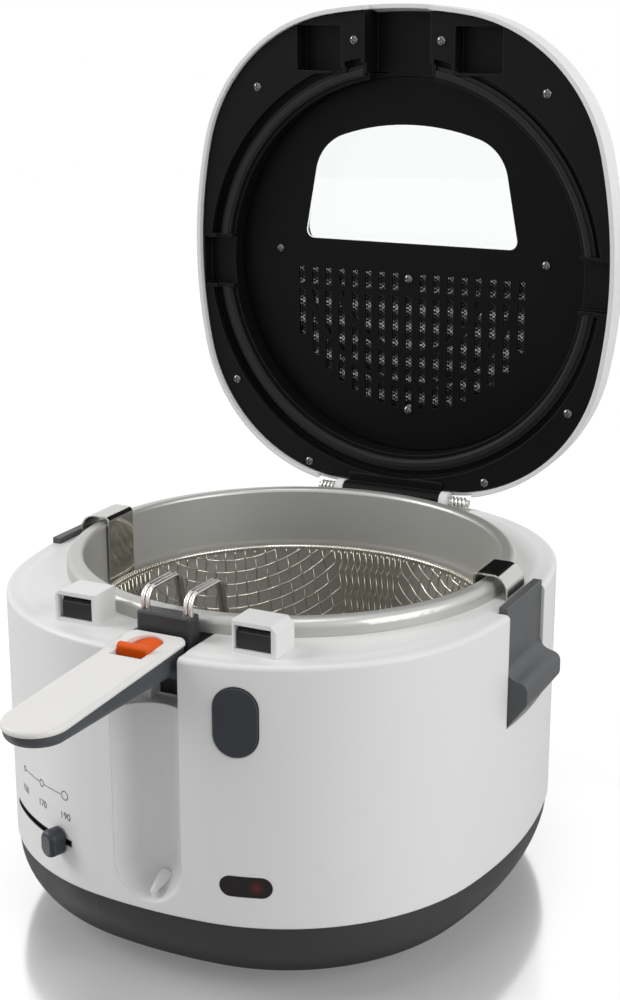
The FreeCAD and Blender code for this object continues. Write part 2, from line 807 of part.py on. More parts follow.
def make_side_handle():
    """Right-hand grip: plate in the wall, outward lip and a finger hollow below it."""
    y0 = -grip_half_width
    points = [
        V(grip_inner_x, y0, grip_top_z),
        V(grip_face_x, y0, grip_top_z),
        V(grip_face_x, y0, lip_top_z + 3),
        V(lip_x, y0, lip_top_z),
        V(lip_x, y0, lip_low_z + 2),
        V(grip_face_x + 1.5, y0, grip_bottom_z),
        V(grip_inner_x, y0, grip_bottom_z),
    ]
    side = Part.Face(Part.makePolygon(points + points[:1]))
    grip = side.extrude(V(0, 2 * grip_half_width, 0))
    nose = [e for e in grip.Edges if e.BoundBox.YLength > 40 and e.BoundBox.XMin > lip_x - 1]
    grip = grip.makeFillet(lip_round, nose)
    root = [e for e in grip.Edges if e.BoundBox.YLength > 40 and abs(e.BoundBox.ZMax - lip_top_z - 3) < 0.01]
    grip = grip.makeFillet(lip_hollow_round, root)
    flange = block(grip_inner_x, grip_flange_x, y0 - grip_flange, grip_half_width + grip_flange,
                   grip_bottom_z - grip_flange, grip_flange_top_z)
    grip = grip.fuse(flange).removeSplitter()
    hollow = block(grip_face_x - 3.5, lip_x - 3.5, y0 + 4, grip_half_width - 4,
                   grip_bottom_z - 5, lip_low_z + 3)
    hollow = hollow.makeFillet(3.0, edges_at(hollow, lip_low_z + 3))
    return grip.cut(hollow)


def make_bowl_clip():
    """Right-hand polished strip that arches over the bowl rim, from the bowl wall to the grip."""
    points = [
        V(clip_inner_x, 0, clip_low_z),
        V(clip_inner_x, 0, clip_top_z),
        V(clip_outer_x, 0, clip_top_z),
        V(clip_outer_x, 0, clip_foot_z),
    ]
    line = bent_path(points, clip_bends)
    sheet = line.makeOffset2D(clip_sheet, openResult=True, fill=True)
    strip = sheet.extrude(V(0, clip_width, 0))
    return strip.translated(V(0, clip_y - clip_width / 2, 0))


def make_hinge_pin():
    """Steel pin through both knuckles and the lid barrel."""
    return rod(pin_radius, -pin_half_length, pin_half_length, hinge_y, hinge_z)


def make_hinge_spring():
    """Right-hand torsion spring: one unbroken tube of quarter-turn biarcs with straight legs."""
    steps = int(spring_turns * 4)
    rise = spring_pitch / 4

    def place(step):
        angle = math.pi / 2 * step
        return V(spring_start_x + rise * step, hinge_y + spring_coil_radius * math.cos(angle),
                 hinge_z + spring_coil_radius * math.sin(angle))

    def heading(step):
        angle = math.pi / 2 * step
        arm = spring_coil_radius * math.pi / 2
        return V(rise, -arm * math.sin(angle), arm * math.cos(angle)).normalize()

    first = place(0) - heading(0) * spring_leg
    last = place(steps) + heading(steps) * spring_wire
    edges = [Part.LineSegment(first, place(0)).toShape()]
    for step in range(steps):
        edges += biarc(place(step), heading(step), place(step + 1), heading(step + 1))
    edges.append(Part.LineSegment(place(steps), last).toShape())
    path = Part.Wire(edges)
    print(f"hinge spring: least gap between turns {wire_gap(path, spring_wire):.2f} mm on points")
    return tube(path, spring_wire / 2)


def wire_gap(path, diameter):
    """Least clear distance between stretches of a wire that are over half a turn apart, on points."""
    points = path.discretize(Distance=0.5)
    apart = int(math.pi * spring_coil_radius / 0.5)
    least = min((p - q).Length for i, p in enumerate(points) for q in points[i + apart:])
    return least - diameter


# Controls


def make_lid_button():
    """Push button that follows the curve of the wall, with a stem that reaches the latch bar."""
    prism = stadium(button_width, button_height, 20).translated(V(0, -10, 0))
    prism = on_corner(prism, button_angle, button_z, 0, 1)
    skin = body_plan.prism(-button_proud, seam_z, shoulder_z)
    skin = skin.cut(body_plan.prism(6, seam_z - 1, shoulder_z + 1))
    cap = prism.common(skin)
    stem = stadium(8, 8, 11).translated(V(-2, 5, -button_stem_drop))
    return cap.fuse(on_corner(stem, button_angle, button_z, 0, 1)).removeSplitter()


def make_latch_bar():
    """Bar under the deck that joins both hooks, which look out of the boss windows."""
    half = hook_width / 2
    reach = boss_x + half - 2
    top = window_high_z - hook_gap
    bar = block(-reach, reach, bar_front_y, bar_back_y, bar_low_z, bar_high_z)
    pieces = [bar]
    for side in (-1, 1):
        x = side * (boss_x - 1)
        pieces.append(block(x - half, x + half, bar_front_y, bar_back_y, bar_low_z, top))
        nose = block(x - half, x + half, hook_front_y, bar_back_y, window_low_z + hook_gap, top)
        slope = [e for e in edges_at(nose, top) if e.BoundBox.YMax < hook_front_y + 0.1]
        pieces.append(nose.makeChamfer(3.0, slope))
    return fused(pieces)


def make_thermostat_knob():
    """Grip of the temperature slide with the lever that runs through the slot."""
    radius = body_plan.corner_radius
    half_lever = math.degrees(lever_width / 2 / radius)
    lever = slot_sector(radius - 11, radius + 3, lever_height, slide_rest_angle - half_lever,
                        slide_rest_angle + half_lever)
    knob = stadium(knob_width, knob_height, knob_depth)
    rims = [e for e in knob.Edges if e.BoundBox.YMax < 0.01]
    knob = knob.makeFillet(2.6, rims)
    knob = on_corner(knob, slide_rest_angle, slot_z, knob_depth + 0.9, -1)
    return knob.fuse(lever).removeSplitter()


# Lid, drawn shut


def lid_z(level):
    """Height of a lid level above the table with the lid shut."""
    return hinge_z + level


def opened(shape):
    """Swing a lid piece from shut to open."""
    turned = shape.copy()
    turned.rotate(V(0, hinge_y, hinge_z), X_AXIS, -lid_open_angle)
    return turned


def window_prism(grow, low, high):
    """The window outline as a solid: straight rear edge, leaning sides, bowed front and round corners."""
    rear = window_rear_y + grow
    front = window_front_y - grow
    corners = [V(side * (half + grow), y, low) for side, half, y in (
        (-1, window_front_half, window_shoulder_y - grow), (-1, window_rear_half, rear),
        (1, window_rear_half, rear), (1, window_front_half, window_shoulder_y - grow))]
    edges = [Part.LineSegment(a, b).toShape() for a, b in zip(corners, corners[1:])]
    edges.append(Part.Arc(corners[3], V(0, front, low), corners[0]).toShape())
    solid = Part.Face(Part.Wire(edges)).extrude(V(0, 0, high - low))
    solid = solid.makeFillet(window_rear_round + grow, upright_edges(solid, lambda p: p.y > rear - 1))
    return solid.makeFillet(window_front_round + grow, upright_edges(solid, lambda p: p.y < rear - 20))


def hinge_clearance():
    """Room in the lid round the knuckles and the springs."""
    inner = knuckle_x - knuckle_width / 2 - 0.5
    outer = pin_half_length + 1.5
    room = rod(trough_radius + 0.4, inner, outer, hinge_y, hinge_z)
    return [room, mirrored(room)]


def lid_form(inset, low):
    """The rounded form of the lid above a level, moved in by an even inset."""
    top = lid_z(lid_height) - inset
    form = lid_plan.prism(inset, low, top)
    return form.makeFillet(lid_round - inset, edges_at(form, top))


def make_lid_shell():
    """White lid cover with a rounded top edge, window opening, vents over the filter and screw posts."""
    top = lid_z(lid_height)
    inner = lid_form(wall, hinge_z - 1)
    shell = lid_form(0, hinge_z).cut(inner)
    cuts = [window_prism(window_flare, top - 10, top + 5)]
    for row in range(vent_rows):
        vent = stadium(vent_length - row * vent_taper, vent_width, 20)
        vent.rotate(V(0, 0, 0), X_AXIS, 90)
        cuts.append(vent.translated(V(0, vent_start_y + row * vent_pitch, top - 10)))
    cuts.append(block(-notch_half_width, notch_half_width, -160, -130, hinge_z - 1, hinge_z + notch_height))
    cuts.append(rod(barrel_radius + 1.2, -knuckle_x, knuckle_x, hinge_y, hinge_z))
    shell = shell.cut(cuts + hinge_clearance())
    seats = [(place, lid_z(frame_level) + frame_sheet) for place in frame_screw_places()]
    seats += [(place, lid_z(plate_level) + plate_sheet) for place in plate_screw_places]
    posts = [post(lid_post_radius, seat, top, x, y).common(inner) for (x, y), seat in seats]
    shell = fused([shell] + posts)
    radius = lid_screw_radius + 0.02
    pilots = [post(radius, seat - 1, seat + lid_screw_length, x, y) for (x, y), seat in seats]
    return opened(shell.cut(pilots))


def frame_screw_places():
    """Plan places of the frame screws on both sides."""
    return [(side * x, y) for x, y in frame_screw_right for side in (-1, 1)]


def make_lid_frame():
    """Black inner frame: flat ring, room for the seal, dish wall, pockets, handle tunnel and barrel."""
    low = lid_z(frame_level)
    groove = lid_z(seal_room_level)
    ceiling = lid_z(plate_level + plate_sheet)
    flat = lid_plan.prism(frame_inset, low, low + frame_sheet)
    flat = flat.cut(post(seal_room_radius, low - 1, low + 5, 0, bowl_y))
    step = ring(seal_room_radius + frame_sheet, seal_room_radius, low, groove)
    roof = ring(seal_room_radius + frame_sheet, dish_radius, groove, groove + frame_sheet)
    dish = ring(dish_radius + frame_sheet, dish_radius, groove, ceiling + frame_sheet)
    flange = ring(dish_radius + frame_sheet, plate_radius - 8, ceiling, ceiling + frame_sheet)
    inside = lid_form(frame_inset, low - 2)
    frame = fused([flat, step.common(inside), roof.common(inside), dish, flange])
    half = boss_width / 2 + pocket_gap
    thick = pocket_sheet
    pocket = block(boss_x - half, boss_x + half, boss_front_y - 3.5, boss_back_y + 3.5, low - 1, pocket_top_z)
    pocket_box = block(boss_x - half - thick, boss_x + half + thick, boss_front_y - 5.5, boss_back_y + 5,
                       low, pocket_top_z + thick)
    half = notch_half_width
    tunnel = block(-half, half, -150, -101, low - 5, tunnel_top_z)
    tunnel_box = block(-half - thick, half + thick, -150, -109, low, tunnel_top_z + thick)
    half = clip_width / 2 + side_room_gap
    side_top = clip_top_z + clip_sheet + side_room_gap
    side_room = block(105, side_room_x, clip_y - half, clip_y + half, low - 5, side_top)
    side_box = block(105, 140, clip_y - half - thick, clip_y + half + thick, low, side_top + thick)
    boxes = [pocket_box, mirrored(pocket_box), tunnel_box, side_box, mirrored(side_box)]
    frame = fused([frame] + [shape.common(inside) for shape in boxes])
    dish_room = post(dish_radius, low - 1, ceiling, 0, bowl_y)
    rim_room = ring(rim_outer_radius + 0.5, bowl_mouth_radius - 1, low - 1, rim_top_z + part_gap)
    holes = [post(lid_screw_radius + 0.1, low - 1, low + 5, x, y) for x, y in frame_screw_places()]
    rooms = [pocket, mirrored(pocket), tunnel, side_room, mirrored(side_room), dish_room, rim_room]
    frame = frame.cut(rooms + holes)
    barrel = rod(barrel_radius, -knuckle_x + knuckle_width / 2 + 0.4, knuckle_x - knuckle_width / 2 - 0.4,
                 hinge_y, hinge_z)
    web = block(-knuckle_x + 4, knuckle_x - 4, hinge_y - 10, hinge_y, hinge_z + 1.5, low + frame_sheet - 1.1)
    frame = fused([frame.cut(hinge_clearance()), barrel, web])
    return opened(frame.cut(rod(pin_radius + running_gap, -60, 60, hinge_y, hinge_z)))


def grille_cutters(low, high):
    """Slots of the grille: upright columns broken by a straight bridge and two round bridges."""
    columns = []
    first = -(grille_columns - 1) / 2 * grille_pitch
    for index in range(grille_columns):
        x = first + index * grille_pitch
        reach = math.sqrt(grille_radius ** 2 - x ** 2)
        bar = block(x - grille_slot / 2, x + grille_slot / 2, grille_top_y, grille_top_y + reach, low, high)
        if index == grille_columns // 2:
            bar = bar.cut(block(x - 5, x + 5, grille_top_y - 1, grille_top_y + grille_top_slot, low, high))
        columns.append(bar)
    bridges = [block(-99, 99, grille_top_y + grille_top_slot, grille_top_y + grille_top_slot + grille_bridge,
                     low, high)]
    for radius in grille_bridge_radii:
        bridges.append(ring(radius, radius - grille_bridge, low, high, grille_top_y))
    return Part.makeCompound(columns).cut(bridges)


def make_lid_plate():
    """Inner plate of the lid with the window opening, its tunnel wall and the filter grille."""
    low = lid_z(plate_level)
    high = low + plate_sheet
    plate = post(plate_radius, low, high, 0, bowl_y)
    sleeve_top = lid_z(lid_height) - wall - pane_sheet
    sleeve = window_prism(window_flare + wall, high, sleeve_top)
    sleeve = sleeve.cut(window_prism(window_flare, high - 1, sleeve_top + 1))
    plate = plate.fuse(sleeve)
    pane_room = window_prism(0, low - 1, high + 1)
    holes = [post(lid_screw_radius + 0.1, low - 1, high + 1, x, y) for x, y in plate_screw_places]
    return opened(plate.cut([pane_room, grille_cutters(low - 1, high + 1)] + holes).removeSplitter())


def make_window_inner():
    """Clear inner pane set in the plate."""
    low = lid_z(plate_level) + 0.4
    return opened(window_prism(-0.1, low, low + pane_sheet))


def make_window_outer():
    """Clear outer pane: a flange held between the cover and the sleeve, and a face in the opening."""
    under = lid_z(lid_height) - wall
    face = window_prism(window_flare - 0.1, under - 1, lid_z(lid_height) - 0.2)
    flange = window_prism(window_flare + wall + 0.5, under - pane_sheet, under)
    return opened(face.fuse(flange).removeSplitter())


def half_disc(radius, low, high):
    """Half disc behind the grille, straight towards the window, with room for the screw posts."""
    disc = post(radius, low, high, 0, grille_top_y)
    disc = disc.common(block(-200, 200, grille_top_y - 3, 200, low - 1, high + 1))
    return disc.cut([post(lid_post_radius + 0.1, low - 1, high + 1, x, y) for x, y in plate_screw_places])


def make_filter_mesh():
    """Stack of expanded metal behind the grille."""
    low = lid_z(plate_level + plate_sheet)
    return opened(half_disc(grille_radius + 4, low, low + filter_sheet))


def make_filter_pad():
    """Fibre pad above the metal mesh."""
    low = lid_z(plate_level + plate_sheet) + filter_sheet
    return opened(half_disc(grille_radius + 4, low, low + filter_depth))


def make_lid_seal():
    """Rubber ring that sits on the bowl rim, with gaps for the hanger wires and the clips."""
    low = rim_top_z + 0.4
    seal = ring(121.0, 114.6, low + 1.5, lid_z(seal_room_level) - 0.02)
    lip = ring(118.6, 115.6, low, low + 1.6)
    seal = seal.fuse(lip).removeSplitter()
    half = notch_half_width + pocket_sheet + 0.1
    gaps = [block(-half, half, -150, -90, low - 1, low + 20)]
    half = clip_width / 2 + side_room_gap + pocket_sheet + 0.1
    gaps.append(block(-150, 150, clip_y - half, clip_y + half, low - 1, low + 20))
    half = boss_width / 2 + pocket_gap + pocket_sheet + 0.1
    pocket = block(boss_x - half, boss_x + half, -150, boss_back_y + 5.1, low - 1, low + 20)
    return opened(seal.cut(gaps + [pocket, mirrored(pocket)]))


def make_frame_screws():
    """Eight screws that hold the inner frame in the cover."""
    return opened(lid_screws(frame_screw_places(), lid_z(frame_level)))


def make_plate_screws():
    """Four screws that hold the inner plate to the posts of the cover."""
    return opened(lid_screws(plate_screw_places, lid_z(plate_level)))


def lid_screws(places, seat):
    """Screws pointing up from one level."""
    screw = pan_screw(lid_screw_head, lid_screw_head_height, lid_screw_radius, lid_screw_length)
    return Part.makeCompound([screw.translated(V(x, y, seat)) for x, y in places])


# Basket


def make_basket_mesh():
    """Round of the wire basket as a thin plain cup."""
    top = basket_ring_z - ring_wire / 2
    outer = cone(basket_floor_radius, basket_top_radius, basket_floor_z, top)
    outer = outer.makeFillet(basket_round, edges_at(outer, basket_floor_z))
    low = basket_floor_z + basket_sheet
    inner = cone(basket_floor_radius - basket_sheet, basket_top_radius - basket_sheet, low, top)
    inner = inner.makeFillet(basket_round - basket_sheet, edges_at(inner, low))
    return outer.cut(inner)


def make_basket_rim():
    """Round wire that edges the mesh."""
    return Part.makeTorus(basket_top_radius, ring_wire / 2, V(0, bowl_y, basket_ring_z))


def make_hanger_wires():
    """Two doubled wires that rise from the bracket, cross the rim and drop into the basket."""
    wires = []
    for x in hanger_places():
        ring_inside = math.sqrt((basket_top_radius - ring_wire / 2) ** 2 - x ** 2)
        inner_y = bowl_y - ring_inside + hanger_wire / 2 + 0.02
        points = [
            V(x, hanger_outer_y, bracket_top_z - hanger_sunk),
            V(x, hanger_outer_y, hanger_top_z),
            V(x, hanger_bend_y, hanger_top_z),
            V(x, hanger_drop_y, hanger_drop_z),
            V(x, inner_y, hanger_foot_z),
            V(x, inner_y, basket_ring_z - ring_wire / 2 + 0.1),
        ]
        bends = [hanger_bend] * (len(points) - 2)
        wires.append(tube(bent_path(points, bends), hanger_wire / 2))
    return Part.makeCompound(wires)


def hanger_places():
    """Where the four hanger wires stand across the bracket."""
    return [side * hanger_x + half * hanger_pair_gap for side in (-1, 1) for half in (-0.5, 0.5)]


def make_handle_bracket():
    """Grey block that holds the wires, with a tongue for the handle pivot."""
    body = block(-bracket_half_width, bracket_half_width, bracket_front_y, bracket_back_y,
                 bracket_low_z, bracket_top_z)
    body = body.makeFillet(2.0, upright_edges(body, lambda p: True))
    body = body.makeFillet(1.2, edges_at(body, bracket_top_z))
    tongue = rod(tongue_radius, -tongue_half_width, tongue_half_width, pivot_y, pivot_z)
    arm = block(-tongue_half_width, tongue_half_width, pivot_y, bracket_front_y + 1,
                pivot_z - tongue_radius / 2, pivot_z + tongue_radius)
    shape = fused([body, tongue, arm])
    holes = [rod(pivot_radius + running_gap / 2, -30, 30, pivot_y, pivot_z)]
    radius = hanger_wire / 2 + 0.02
    for x in hanger_places():
        holes.append(post(radius, bracket_top_z - hanger_sunk, bracket_top_z + 5, x, hanger_outer_y))
    return shape.cut(holes)


def make_pivot_pin():
    """Pin of the folding handle."""
    return rod(pivot_radius, -handle_half_width + 2.2, handle_half_width - 2.2, pivot_y, pivot_z)


# Folding handle, drawn level and then tipped to its slope


def tipped(shape):
    """Tip a handle piece down to the slope at which it stands out."""
    turned = shape.copy()
    turned.rotate(V(0, pivot_y, pivot_z), X_AXIS, handle_slope)
    return turned


def handle_outline(inset, z):
    """Plan of the handle: round tip, rounded inner corners."""
    half = handle_half_width - inset
    inner_round = handle_inner_round
    inner = handle_inner_y - inset
    tip_centre = handle_tip_y + handle_half_width
    cut = inner_round * (1 - math.sqrt(0.5))
    edges = [
        Part.LineSegment(V(half, tip_centre, z), V(half, inner - inner_round, z)).toShape(),
        Part.Arc(V(half, inner - inner_round, z), V(half - cut, inner - cut, z),
                 V(half - inner_round, inner, z)).toShape(),
        Part.LineSegment(V(half - inner_round, inner, z), V(inner_round - half, inner, z)).toShape(),
        Part.Arc(V(inner_round - half, inner, z), V(cut - half, inner - cut, z),
                 V(-half, inner - inner_round, z)).toShape(),
        Part.LineSegment(V(-half, inner - inner_round, z), V(-half, tip_centre, z)).toShape(),
        Part.Arc(V(-half, tip_centre, z), V(0, tip_centre - half, z), V(half, tip_centre, z)).toShape(),
    ]
    return Part.Face(Part.Wire(edges))


def slide_button_room(grow):
    """Opening for the slide button: half round towards the bracket, straight at the outer end."""
    half = slide_button_half_width + grow
    low = handle_top_z - handle_plate - 1
    inner = slide_button_inner_y - slide_button_half_width
    round_end = post(half, low, handle_top_z + 10, 0, inner)
    straight = block(-half, half, slide_button_outer_y - grow, inner, low, handle_top_z + 10)
    return fused([round_end, straight])


def make_handle_upper():
    """White top plate of the handle."""
    low = handle_top_z - handle_plate
    plate = handle_outline(0, low).extrude(V(0, 0, handle_plate))
    plate = plate.makeFillet(handle_edge_round, edges_at(plate, handle_top_z))
    half = slide_button_half_width + slide_button_gap
    ahead = block(-half, half, slide_button_outer_y - slide_button_room_ahead, slide_button_outer_y,
                  low - 1, handle_top_z + 5)
    room = slide_button_room(slide_button_gap).fuse(ahead)
    radius = handle_screw_radius + 0.02
    pilots = [post(radius, low - 1, low + handle_screw_grip + 0.1, 0, y) for y in handle_screw_places]
    return tipped(plate.cut([room] + pilots).removeSplitter())


def make_handle_lower():
    """Grey under-body: tapered towards the tip, round below, forked round the bracket tongue."""
    high = handle_top_z - handle_plate - 0.05
    body = handle_outline(0.6, high - handle_body_depth).extrude(V(0, 0, handle_body_depth))
    taper = math.degrees(math.atan((handle_body_depth - handle_tip_depth) / (handle_inner_y - handle_tip_y)))
    wedge = block(-30, 30, handle_tip_y - 10, handle_inner_y + 10, high - 60, high - handle_body_depth)
    wedge.rotate(V(0, handle_inner_y, high - handle_body_depth), X_AXIS, -taper)
    body = body.cut(wedge)
    lower = []
    for edge in body.Edges:
        box = edge.BoundBox
        if box.Center.z < high - handle_tip_depth / 2 and box.ZMax < high - 1 and box.ZLength < 8:
            lower.append(edge)
    body = body.makeFillet(handle_under_round, lower)
    fork = block(-tongue_half_width - 0.6, tongue_half_width + 0.6, pivot_y - 8, handle_inner_y + 5,
                 high - 30, high - 2.5)
    half = slide_button_half_width + slide_button_gap
    well = block(-half, half, slide_button_outer_y - slide_button_room_ahead,
                 slide_button_inner_y + slide_button_gap, high - slide_button_well, high + 1)
    cuts = [fork, well]
    seat = handle_top_z - handle_plate - handle_screw_seat
    for y in handle_screw_places:
        cuts.append(post(handle_screw_head + 0.3, seat - 30, seat, 0, y))
        cuts.append(post(handle_screw_radius + 0.1, seat - 1, high + 1, 0, y))
    hole = rod(pivot_radius + running_gap, -30, 30, pivot_y, pivot_z)
    shape = tipped(body.cut(cuts).removeSplitter())
    return shape.cut(hole)


def make_handle_button():
    """Orange slide button: dished face, raised finger lip at the outer end, foot in the handle."""
    low = handle_top_z - handle_plate
    body = slide_button_room(0).common(block(-30, 30, -200, -100, low - 1, handle_top_z - 0.8))
    radius = slide_button_dish_radius
    dish = Part.makeCylinder(radius, 60, V(-30, slide_button_inner_y - slide_button_half_width,
                                           handle_top_z + radius - slide_button_dish_depth), X_AXIS)
    top = handle_top_z + slide_button_lip_height
    lip = block(-slide_button_half_width, slide_button_half_width, slide_button_outer_y,
                slide_button_outer_y + slide_button_lip, low, top)
    ridge = [e for e in edges_at(lip, top) if e.BoundBox.XLength > 10]
    lip = lip.makeFillet(2.0, ridge)
    return tipped(body.cut(dish).fuse(lip).removeSplitter())


def make_handle_screws():
    """Two screws from below that hold both halves of the handle together."""
    seat = handle_top_z - handle_plate - handle_screw_seat
    screw = pan_screw(handle_screw_head, 1.5, handle_screw_radius, handle_screw_seat + handle_screw_grip)
    return tipped(Part.makeCompound([screw.translated(V(0, y, seat)) for y in handle_screw_places]))


def write(name, shape):
    """Write one node in the frame of the whole, after a check that it is made of sound solids."""
    placed = shape.translated(V(0, frame_shift_y, 0))
    sound = placed.isValid() and len(placed.Solids) > 0
    print(f"{name}: solids {len(placed.Solids)}, volume {placed.Volume / 1000:.1f} cm3, valid {sound}")
    placed.exportStep(f"parts/{name}.step")


def main():
    """Make and write every node."""
    os.makedirs("parts", exist_ok=True)
    right_grip = make_side_handle()
    right_clip = make_bowl_clip()
    right_spring = make_hinge_spring()
    nodes = {
        "base_tray": make_base_tray(),
        "cord_gland": make_cord_gland(),
        "rubber_feet": make_feet(),
        "base_screws": make_base_screws(),
        "body_shell": make_body_shell(),
        "bowl": make_bowl(),
        "heat_shield": make_heat_shield(),
        "heating_element": make_heating_element(),
        "thermostat_body": make_thermostat_body(),
        "terminal_block": make_terminal_block(),
        "thermal_fuse": make_thermal_fuse(),
        "pilot_lamp": make_pilot_lamp(),
        "pilot_lens": make_pilot_lens(),
        "slot_backing": make_slot_backing(),
        "side_handle_right": right_grip,
        "side_handle_left": mirrored(right_grip),
        "bowl_clip_right": right_clip,
        "bowl_clip_left": mirrored(right_clip),
        "hinge_pin": make_hinge_pin(),
        "hinge_spring_right": right_spring,
        "hinge_spring_left": mirrored(right_spring),
        "lid_button": make_lid_button(),
        "latch_bar": make_latch_bar(),
        "thermostat_knob": make_thermostat_knob(),
        "lid_shell": make_lid_shell(),
        "lid_frame": make_lid_frame(),
        "lid_plate": make_lid_plate(),
        "window_inner": make_window_inner(),
        "window_outer": make_window_outer(),
        "filter_mesh": make_filter_mesh(),
        "filter_pad": make_filter_pad(),
        "lid_seal": make_lid_seal(),
        "frame_screws": make_frame_screws(),
        "plate_screws": make_plate_screws(),
        "basket_mesh": make_basket_mesh(),
        "basket_rim": make_basket_rim(),
        "hanger_wires": make_hanger_wires(),
        "handle_bracket": make_handle_bracket(),
        "pivot_pin": make_pivot_pin(),
        "handle_upper": make_handle_upper(),
        "handle_lower": make_handle_lower(),
        "handle_button": make_handle_button(),
        "handle_screws": make_handle_screws(),
    }
    for name, shape in nodes.items():
        write(name, shape)


main()
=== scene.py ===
import json
import logging
import math
from dataclasses import dataclass, field, replace
from enum import Enum
from typing import Callable, Iterable, Sequence

import bpy
import numpy as np
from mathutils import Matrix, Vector


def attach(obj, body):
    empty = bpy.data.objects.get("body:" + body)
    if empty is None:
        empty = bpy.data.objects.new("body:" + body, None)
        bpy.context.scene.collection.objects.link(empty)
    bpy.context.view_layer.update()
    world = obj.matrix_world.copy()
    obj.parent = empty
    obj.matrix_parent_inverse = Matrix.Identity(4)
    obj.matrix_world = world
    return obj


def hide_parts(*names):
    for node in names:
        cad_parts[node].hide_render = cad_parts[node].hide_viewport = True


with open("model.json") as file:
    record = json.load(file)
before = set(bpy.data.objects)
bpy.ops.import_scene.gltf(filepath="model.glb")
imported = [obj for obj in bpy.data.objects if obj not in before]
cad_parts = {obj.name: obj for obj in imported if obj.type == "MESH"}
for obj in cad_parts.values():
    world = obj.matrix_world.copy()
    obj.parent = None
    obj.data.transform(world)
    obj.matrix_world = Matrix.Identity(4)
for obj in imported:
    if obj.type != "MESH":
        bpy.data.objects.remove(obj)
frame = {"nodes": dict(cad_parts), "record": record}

log = logging.getLogger("fryer")

MM = 0.001
# From the middle of the body plan to the middle of the whole, in millimetres
PLAN_Y = 33.0
# How far the lid stands open at rest, in degrees
LID_OPEN = 88.8
# Keeps divisions and angles off zero
TINY = 1e-9
# A direction that no wire runs along, to start a wire's section from
ASKEW = (0.31, 0.17, 0.93)
# Places of the colour sockets on the Mix node
MIX_FACTOR, MIX_A, MIX_B, MIX_RESULT = 0, 6, 7, 2
Point = tuple[float, float, float]


def row(x: float, y: float, z: float) -> Point:
    """Body-plan millimetres to metres in the shared frame."""
    return x * MM, (y + PLAN_Y) * MM, z * MM


class Body(str, Enum):
    """Rigid bodies that pieces ride on."""

    HOUSING = "housing"
    LID = "lid"
    BASKET = "basket"


class Slot(str, Enum):
    """Material slots that new pieces take their finish from."""

    MESH = "mesh_steel"
    FILTER = "filter_metal"
    SCREW = "screw_steel"
    INK = "latch_black"


# Shader groups


@dataclass
class Nodes:
    """Short way to add and link nodes in one tree."""

    tree: bpy.types.NodeTree

    def add(self, kind: str, **values: object) -> bpy.types.Node:
        """Add a node and set its properties or named inputs.

        Args:
            kind: Blender's node type.
            values: Properties, or inputs written with underscores for spaces.

        Returns:
            The new node.
        """
        node = self.tree.nodes.new(kind)
        for key, value in values.items():
            if hasattr(node, key):
                setattr(node, key, value)
            else:
                node.inputs[key.replace("_", " ")].default_value = value
        return node

    def link(self, source: bpy.types.NodeSocket, target: bpy.types.NodeSocket) -> None:
        """Join an output to an input."""
        self.tree.links.new(source, target)

    def math(self, operation: str, a: object, b: object = 0.0, c: object = 0.0,
             clamp: bool = False) -> bpy.types.NodeSocket:
        """Add a Math node.

        Args:
            operation: Name of the operation.
            a: Socket or number for the first input.
            b: Socket or number for the second input.
            c: Socket or number for the third input, where the operation has one.
            clamp: Keep the result between 0 and 1.

        Returns:
            The value socket.
        """
        node = self.tree.nodes.new("ShaderNodeMath")
        node.operation = operation
        node.use_clamp = clamp
        for socket, value in zip(node.inputs, (a, b, c)):
            if isinstance(value, bpy.types.NodeSocket):
                self.link(value, socket)
            else:
                socket.default_value = value
        return node.outputs[0]

    def noise(self, where: bpy.types.NodeSocket, scale: object, detail: float = 2.0) -> bpy.types.NodeSocket:
        """Add a Noise texture.

        Args:
            where: Vector socket to sample at.
            scale: Socket or number.
            detail: Octaves.

        Returns:
            The value socket, about 0.5 on average.
        """
        node = self.add("ShaderNodeTexNoise", Detail=detail)
        self.link(where, node.inputs["Vector"])
        if isinstance(scale, bpy.types.NodeSocket):
            self.link(scale, node.inputs["Scale"])
        else:
            node.inputs["Scale"].default_value = scale
        return node.outputs["Fac"]

    def mix(self, factor: bpy.types.NodeSocket, a: object, b: object) -> bpy.types.NodeSocket:
        """Mix two colours.

        Args:
            factor: Mask socket.
            a: Socket or colour where the mask is 0.
            b: Socket or colour where the mask is 1.

        Returns:
            The colour socket.
        """
        node = self.tree.nodes.new("ShaderNodeMix")
        node.data_type = "RGBA"
        self.link(factor, node.inputs[MIX_FACTOR])
        for socket, value in ((node.inputs[MIX_A], a), (node.inputs[MIX_B], b)):
            if isinstance(value, bpy.types.NodeSocket):
                self.link(value, socket)
            else:
                socket.default_value = (*value, 1.0)
        return node.outputs[MIX_RESULT]


def new_group(name: str, inputs: dict[str, float], outputs: dict[str, str]) -> tuple[Nodes, dict, dict]:
    """Start a shader node group.

    Args:
        name: Name of the group.
        inputs: Value inputs with their defaults.
        outputs: Output names with their socket types.

    Returns:
        The node helper, the input sockets and the output sockets.
    """
    tree = bpy.data.node_groups.new(name, "ShaderNodeTree")
    for label, value in inputs.items():
        socket = tree.interface.new_socket(label, in_out="INPUT", socket_type="NodeSocketFloat")
        socket.default_value = value
    for label, kind in outputs.items():
        tree.interface.new_socket(label, in_out="OUTPUT", socket_type=kind)
    nodes = Nodes(tree)
    entry = nodes.add("NodeGroupInput")
    exit_node = nodes.add("NodeGroupOutput")
    return nodes, {k: entry.outputs[k] for k in inputs}, {k: exit_node.inputs[k] for k in outputs}


